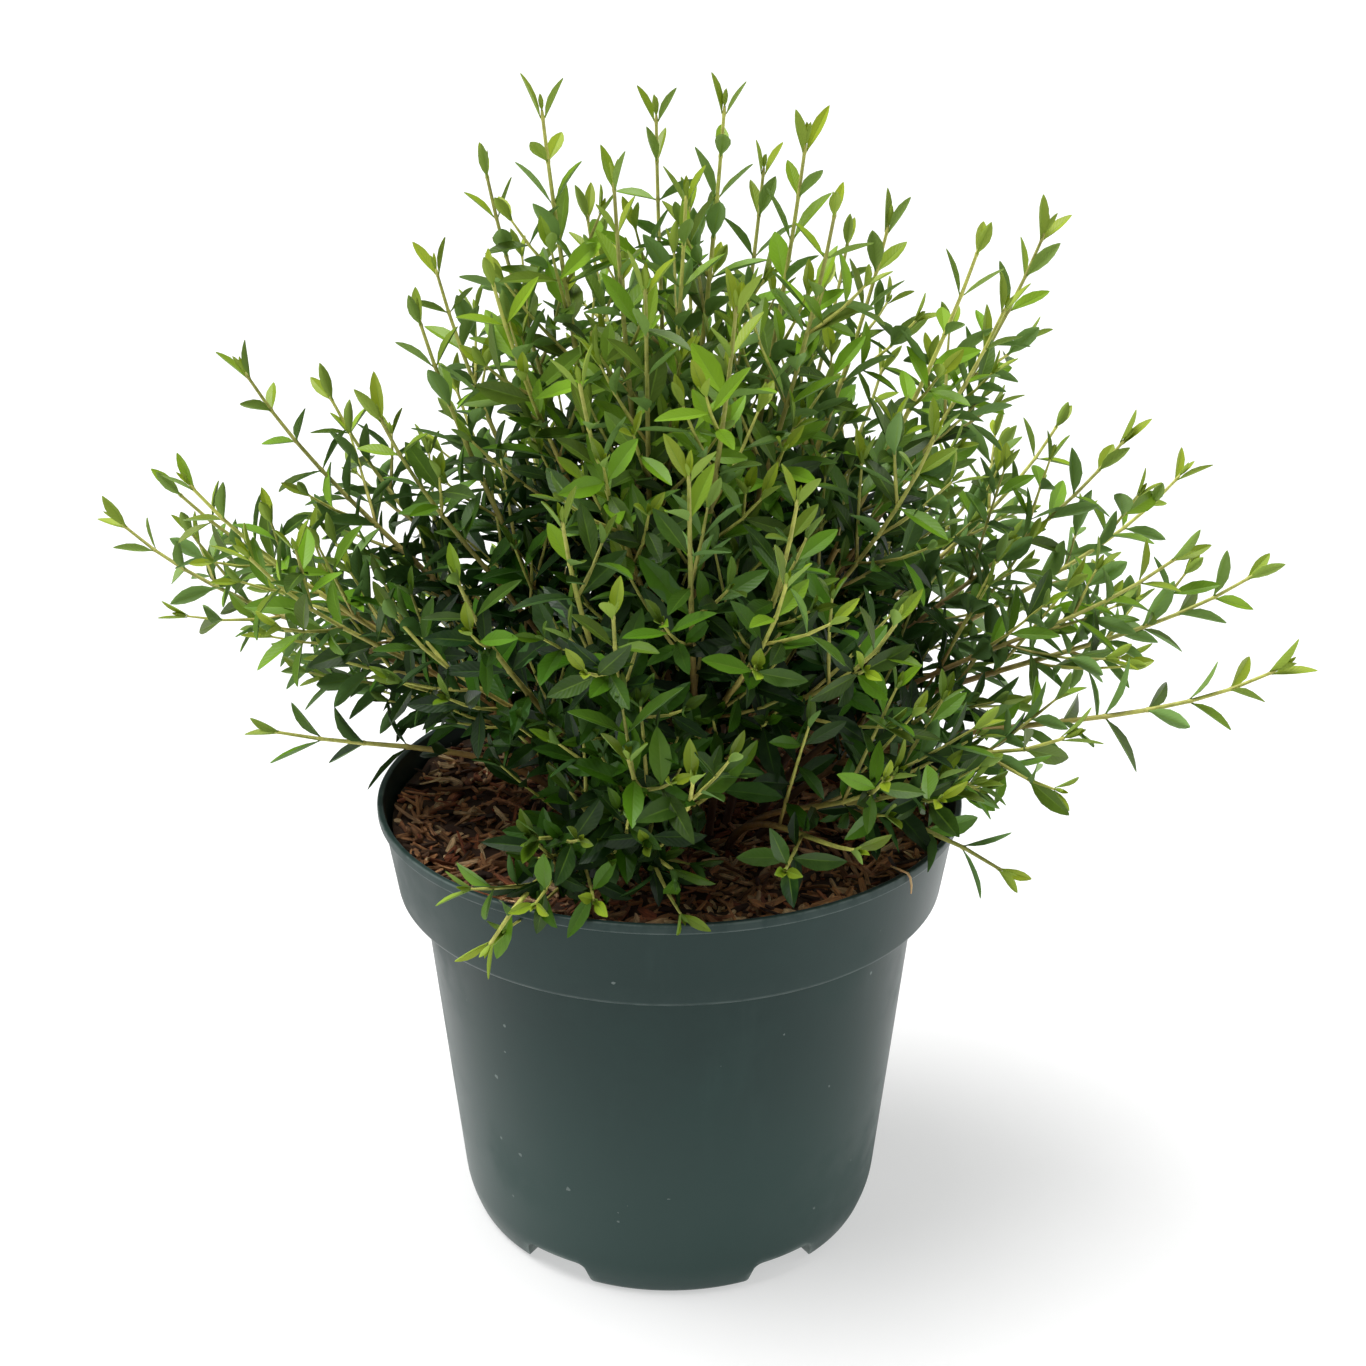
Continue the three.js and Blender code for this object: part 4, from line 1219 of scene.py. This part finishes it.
def leaves_on(axis, kind, draw):
    """The leaves of one shoot or twig, with the small pair at its very tip."""
    leaves = []
    for pair in axis["pairs"]:
        deep = depth_in_crown(pair["foot"])
        # Painted shade takes the young colour from leaves deep in the crown; painted light gives more of
        # it to leaves high or far out.
        young = smooth(pair["part"], kind["young_from"], YOUNG_FULLY) * (1 - 0.75 * deep) * draw(0.3, 1.1)
        young = min(1, young + (0.12 * in_the_light(pair["foot"]) + draw(0, 0.16)) * (1 - deep))
        for side in (1, -1):
            opening = pair["opening"] + draw(-OPENING_VARIES, OPENING_VARIES)
            roll = draw(-ROLL_VARIES, ROLL_VARIES)
            long, wide = pair["length"] * draw(*LENGTH_VARIES), pair["width"] * draw(*WIDTH_VARIES)
            leaf = leaf_of(pair["foot"], pair["along"], pair["out"] * side, opening, roll, long, wide,
                           kind["off"])
            # The tone is mostly random; its rise with height is painted light.
            tone = 0.86 * draw() + 0.14 * smooth(pair["foot"][2], *LIGHT_HEIGHT)
            bend = draw(*BEND_VARIES) * (1 - young * 0.8)
            leaf.update(young=young, tone=tone, deep=deep, bend=bend,
                        twist=draw(-TWIST_VARIES, TWIST_VARIES), full=deep < PLAIN_DEPTH)
            leaves.append(leaf)
    last = axis["pairs"][-1]
    tip, along = axis["arc"].at(1), axis["arc"].tangent(1)
    across = np.cross(along, last["out"])
    deep = depth_in_crown(tip)
    for side in (1, -1):
        length = last["length"] * draw(0.36, 0.6)
        opening = radians(draw(8, 20))
        leaf = leaf_of(tip - along * 0.6, along, across * side, opening, 0.0, length, length * 0.3, 0.15)
        # The tip pair is young, less so in the painted shade deep in the crown.
        leaf.update(young=1 - 0.7 * deep, tone=draw(), deep=deep, bend=-0.04, twist=0.0, full=False)
        leaves.append(leaf)
    return [leaf for leaf in leaves if clear_of_pot(leaf)]


def clear_of_pot(leaf):
    """Whether a blade keeps out of the pot's wall and the mulch along its middle."""
    places = [leaf["start"] + leaf["way"] * leaf["length"] * part for part in BLADE_CHECKS]
    return not any(meets_pot(place) for place in places)


def leaf_outline(part):
    """Half width of a blade at a part of its length, as a share of the widest."""
    return max(PETIOLE_WIDTH, sin(pi * max(0, part - 0.04) / 0.96) ** 0.8)


def leaf_template(steps, tops):
    """Rings round a closed blade from its foot to its tip, and the faces between them."""
    unders = tops[-2:0:-1]
    ring = len(tops) + len(unders)
    along = np.array([step for step in steps for _ in range(ring)] + [1.0])
    side = np.array([*tops, *unders] * len(steps) + [0.0])
    below = np.array([*[0.0] * len(tops), *[1.0] * len(unders)] * len(steps) + [0.0])
    wide = np.array([leaf_outline(step) for step in steps for _ in range(ring)] + [0.0])
    k = np.arange(ring)
    following = (k + 1) % ring
    first = np.arange(len(steps) - 1)[:, None] * ring
    walls = np.stack([first + k, first + ring + k, first + ring + following, first + following], -1)
    last, tip = (len(steps) - 1) * ring, len(steps) * ring
    point = np.stack([last + k, np.full(ring, tip), last + following], -1)
    is_under = (k >= len(tops) - 1).astype(float)
    wall_flags = np.repeat(np.tile(is_under, len(steps) - 1), 4)
    flags = np.concatenate([wall_flags, np.repeat(is_under, 3), np.ones(ring)])
    rim = (np.abs(side) == 1) | (along == 1)
    crease = (side == 0) & (below == 0)
    return {"along": along, "side": side, "below": below, "wide": wide, "rim": rim, "crease": crease,
            "faces": [walls.reshape(-1, 4), point, k[None]], "flags": flags}


def set_leaves(leaves, template, look):
    """Points of many leaves from one template, as an array of leaves by points."""
    def column(name):
        return np.array([leaf[name] for leaf in leaves], float)[:, None]

    along, side, wide = template["along"], template["side"], template["wide"]
    long, broad = column("length"), column("width")
    turn = column("twist") * along
    bend = column("bend") * BEND * look.arch / USUAL_ARCH
    reach = along * long
    half = side * wide * broad / 2
    lift = look.fold * np.abs(side) ** 1.25 * wide * broad
    lift = lift - template["below"] * look.thickness / MM * (0.55 + 0.45 * wide)
    sideways = half * np.cos(turn) - lift * np.sin(turn)
    rise = half * np.sin(turn) + lift * np.cos(turn) - bend * long * along**2 * 0.5
    start, way, across, face = (np.array([leaf[name] for leaf in leaves])[:, None] for name in
                                ("start", "way", "across", "face"))
    return start + way * reach[..., None] + across * sideways[..., None] + face * rise[..., None]


def leaves_mesh(name, leaves, look):
    """One mesh of closed blades, finer ones outside and plainer ones inside the crown."""
    points, face_sets, values, places, sharp = [], [], [], [], []
    count = 0
    for full, (steps, tops) in GRADES.items():
        chosen = [leaf for leaf in leaves if leaf["full"] == full]
        if not chosen:
            continue
        template = leaf_template(steps, tops)
        each = len(template["along"])
        offsets = count + np.arange(len(chosen)) * each
        points.append(set_leaves(chosen, template, look).reshape(-1, 3))
        traits = np.array([[leaf["young"], leaf["tone"], leaf["deep"]] for leaf in chosen])
        values.append(np.repeat(traits, each, axis=0))
        sharp.append(np.tile(template["rim"] | template["crease"], len(chosen)))
        start = 0
        for faces in template["faces"]:
            corners = faces.size
            face_sets.append((faces[None] + offsets[:, None, None]).reshape(-1, faces.shape[1]))
            flags = template["flags"][start:start + corners]
            flat = faces.ravel()
            rows = np.stack([template["along"][flat], template["side"][flat], flags], -1)
            places.append(np.tile(rows, (len(chosen), 1)))
            start += corners
        count += each * len(chosen)
    mesh = mesh_of(name, np.concatenate(points) * MM, face_sets)
    add_layer(mesh, "leaf", "POINT", np.concatenate(values))
    add_layer(mesh, "place", "CORNER", np.concatenate(places))
    sharpen(mesh, np.concatenate(sharp))
    return mesh


def wood_stations(axis, first_radius, last_radius, fine):
    """Places up a shoot or twig, a little thicker at each leaf pair."""
    nodes = [pair["t"] for pair in axis["pairs"]]
    swell = SWELL_REACH / axis["arc"].length()
    stations = {0.0: 1.0, 1.0: END_SHARE}
    for t in nodes:
        stations[max(0.0, t - swell)] = 1.0
        stations[min(0.995, t)] = SWELL
        if fine:
            stations[min(0.999, t + swell)] = 1.0
    bare = int(nodes[0] * axis["arc"].length() / BARE_STEP)
    for i in range(1, bare + 1):
        stations[nodes[0] * i / (bare + 1)] = 1.0
    ordered = sorted(stations)
    return ordered, [blend(first_radius, last_radius, t) * stations[t] for t in ordered]


def add_wood(gathered, axis, radii, sides, ages, draw, root=None):
    """A tapered tube along one shoot or twig."""
    arc = axis["arc"]
    ts, widths = wood_stations(axis, *radii, sides > TWIG_SIDES)
    places, ways = [arc.at(t) for t in ts], [arc.tangent(t) for t in ts]
    if root is not None:
        places.insert(0, root)
        ways.insert(0, UP)
        ts, widths = [0.0, *ts], [widths[0] * 1.1, *widths]
    tone = draw()
    age = np.repeat([[blend(*ages, t), tone, 0] for t in ts], sides, axis=0)
    points = tube_rings(places, ways, widths, sides)
    gathered.add(points, tube_faces(len(places), sides), wood=age)


def build_wood(stem, look, draw):
    """A stem with its forks and side twigs."""
    gathered = Gathered()
    root = stem["foot"] - UP * STEM_DEPTH
    for k, shoot in enumerate(stem["shoots"]):
        first = look.fork_radius if k else look.foot_radius
        radii = (first / MM, look.tip_radius / MM)
        ages = (0.12 if k else 0.0, 1.0)
        add_wood(gathered, shoot, radii, SHOOT_SIDES, ages, draw, None if k else root)
        for twig in shoot["twigs"]:
            radii = (look.twig_radius / MM, look.twig_tip_radius / MM)
            ages = (blend(0.2, 0.8, twig["t"]), 1.0)
            add_wood(gathered, twig, radii, TWIG_SIDES, ages, draw)
    name = "wood_" + stem["name"]
    piece(name, gathered.mesh(name), wood_finish(), "twig", "stem_" + stem["name"])


def build_leaves(stem, look, draw):
    """All leaves of one stem."""
    leaves = []
    for shoot in stem["shoots"]:
        leaves += leaves_on(shoot, SHOOT_LEAVES, draw)
        for twig in shoot["twigs"]:
            leaves += leaves_on(twig, TWIG_LEAVES, draw)
    name = "leaves_" + stem["name"]
    piece(name, leaves_mesh(name, leaves, look), leaf_finish(), "leaf", "stem_" + stem["name"])


# Stage

LIGHTS_TARGET = (0, 0, 0.2)
SKY_PLACE = (-0.35, 0.05, 1.2)
LEFT_PLACE = (-1.6, 0.1, 0.5)
RIGHT_PLACE = (1.6, 0.1, 0.5)
RIGHT_SHARE = 2.5


def add_light(light, place, target):
    made = bpy.data.objects.new(light.name, light)
    made.location = place
    made.rotation_euler = (Vector(target) - Vector(place)).to_track_quat("-Z", "Y").to_euler()
    bpy.context.scene.collection.objects.link(made)


def soft_box(name, place, target, power):
    """A large rectangular light."""
    light = bpy.data.lights.new(name, "AREA")
    light.shape = "RECTANGLE"
    light.size, light.size_y = 1.0, 1.4
    light.energy = power
    add_light(light, place, target)


def build_lights(stage):
    """A wide soft light from above and one at each side."""
    sky = bpy.data.lights.new("Sky", "SUN")
    sky.energy, sky.angle = stage.sun, stage.sun_angle
    add_light(sky, SKY_PLACE, (0, 0, 0))
    soft_box("Left", LEFT_PLACE, LIGHTS_TARGET, stage.side)
    soft_box("Right", RIGHT_PLACE, LIGHTS_TARGET, stage.side * RIGHT_SHARE)


def build_floor(stage):
    """A pale floor, lit a little from within so that it meets the white surroundings."""
    half = stage.floor_size / 2
    corners = np.array([(-half, -half, 0), (half, -half, 0), (half, half, 0), (-half, half, 0)])
    mesh = mesh_of("floor", corners, [np.array([[0, 1, 2, 3]])])
    material, tree, shader = new_material("Floor")
    cloud = mottle(tree, 3.0, 3.0, 0.3, 0.7)
    darker = tuple(c * 0.985 for c in stage.floor)
    shader.inputs["Emission Color"].default_value = (1, 1, 1, 1)
    shader.inputs["Emission Strength"].default_value = stage.floor_glow
    feed(tree, shader, mixed(tree, cloud, stage.floor, darker), 0.7)
    mesh.materials.append(material)
    floor = bpy.data.objects.new("floor", mesh)
    bpy.context.scene.collection.objects.link(floor)
    floor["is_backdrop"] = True


def build_world(stage):
    """White surroundings that light the shrub less than they show."""
    world = bpy.data.worlds.new("Studio")
    world.use_nodes = True
    tree = world.node_tree
    lit = tree.nodes["Background"]
    lit.inputs["Strength"].default_value = stage.world
    seen = tree.nodes.new("ShaderNodeBackground")
    for background in (lit, seen):
        background.inputs["Color"].default_value = (1, 1, 1, 1)
    choice = tree.nodes.new("ShaderNodeMixShader")
    path = tree.nodes.new("ShaderNodeLightPath")
    tree.links.new(path.outputs["Is Camera Ray"], choice.inputs[0])
    tree.links.new(lit.outputs[0], choice.inputs[1])
    tree.links.new(seen.outputs[0], choice.inputs[2])
    tree.links.new(choice.outputs[0], tree.nodes["World Output"].inputs["Surface"])
    bpy.context.scene.world = world


def build_camera(stage):
    """The photo's camera."""
    data = bpy.data.cameras.new("Camera")
    data.lens = stage.lens
    data.sensor_width = 36
    photo_width, pot_axis_left_of_middle = 1366, 13.5
    data.shift_x = pot_axis_left_of_middle / photo_width
    data.clip_start, data.clip_end = 0.01, 200
    camera = bpy.data.objects.new("Camera", data)
    camera.location = stage.camera_place
    camera.rotation_euler = (pi / 2 - stage.camera_pitch, 0, 0)
    bpy.context.scene.collection.objects.link(camera)
    bpy.context.scene.camera = camera


# Operators

class MYRTLE_OT_stage(bpy.types.Operator):
    """Build the floor, the lights and the camera"""

    bl_idname = "myrtle.stage"
    bl_label = "Stage"

    def execute(self, context):
        stage = context.scene.myrtle.stage
        build_floor(stage)
        build_world(stage)
        build_lights(stage)
        build_camera(stage)
        context.scene.view_settings.view_transform = "Standard"
        return {"FINISHED"}


class MYRTLE_OT_pot(bpy.types.Operator):
    """Build the nursery pot"""

    bl_idname = "myrtle.pot"
    bl_label = "Pot"

    def execute(self, context):
        build_pot(context.scene.myrtle.pot)
        return {"FINISHED"}


class MYRTLE_OT_soil(bpy.types.Operator):
    """Finish the growing medium, which keeps its own solid"""

    bl_idname = "myrtle.soil"
    bl_label = "Soil"

    def execute(self, context):
        solid = frame["nodes"]["growing_medium"]
        solid.data.materials.clear()
        solid.data.materials.append(soil_finish())
        return {"FINISHED"}


class MYRTLE_OT_mulch(bpy.types.Operator):
    """Build the bark mulch and the straw on the rim"""

    bl_idname = "myrtle.mulch"
    bl_label = "Bark mulch"

    def execute(self, context):
        build_mulch(context.scene.myrtle.mulch)
        build_straw(context.scene.myrtle.pot)
        return {"FINISHED"}


class MYRTLE_OT_wood(bpy.types.Operator):
    """Build the stems and twigs"""

    bl_idname = "myrtle.wood"
    bl_label = "Stems and twigs"

    def execute(self, context):
        draw = seeded(WOOD_SEED)
        for stem in grow():
            build_wood(stem, context.scene.myrtle.wood, draw)
        return {"FINISHED"}


class MYRTLE_OT_leaves(bpy.types.Operator):
    """Build the leaves"""

    bl_idname = "myrtle.leaves"
    bl_label = "Leaves"

    def execute(self, context):
        draw = seeded(LEAF_SEED)
        for stem in grow():
            build_leaves(stem, context.scene.myrtle.leaf, draw)
        return {"FINISHED"}


OPERATORS = (MYRTLE_OT_stage, MYRTLE_OT_pot, MYRTLE_OT_soil, MYRTLE_OT_mulch, MYRTLE_OT_wood,
             MYRTLE_OT_leaves)


class MyrtleSettings(bpy.types.PropertyGroup):
    """All settings of the potted myrtle."""

    pot: PointerProperty(type=PotSettings)
    mulch: PointerProperty(type=MulchSettings)
    wood: PointerProperty(type=WoodSettings)
    leaf: PointerProperty(type=LeafSettings)
    stage: PointerProperty(type=StageSettings)


class MYRTLE_PT_panel(bpy.types.Panel):
    """Lists the operators that build the potted myrtle"""

    bl_idname = "MYRTLE_PT_panel"
    bl_label = "Potted myrtle"
    bl_space_type = "VIEW_3D"
    bl_region_type = "UI"
    bl_category = "Myrtle"

    def draw(self, context):
        for operator in OPERATORS:
            self.layout.operator(operator.bl_idname)


CLASSES = (PotSettings, MulchSettings, WoodSettings, LeafSettings, StageSettings, MyrtleSettings,
           *OPERATORS, MYRTLE_PT_panel)


def register():
    for each in CLASSES:
        bpy.utils.register_class(each)
    bpy.types.Scene.myrtle = PointerProperty(type=MyrtleSettings)


def unregister():
    del bpy.types.Scene.myrtle
    for each in reversed(CLASSES):
        bpy.utils.unregister_class(each)


def main():
    register()
    bpy.ops.myrtle.stage()
    bpy.ops.myrtle.pot()
    bpy.ops.myrtle.soil()
    bpy.ops.myrtle.mulch()
    bpy.ops.myrtle.wood()
    bpy.ops.myrtle.leaves()
    boxes = {"cad": CAD_BOX, "visual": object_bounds()}
    {name: [list(corner) for corner in corners] for name, corners in boxes.items()}


if __name__ == "__main__":
    main()
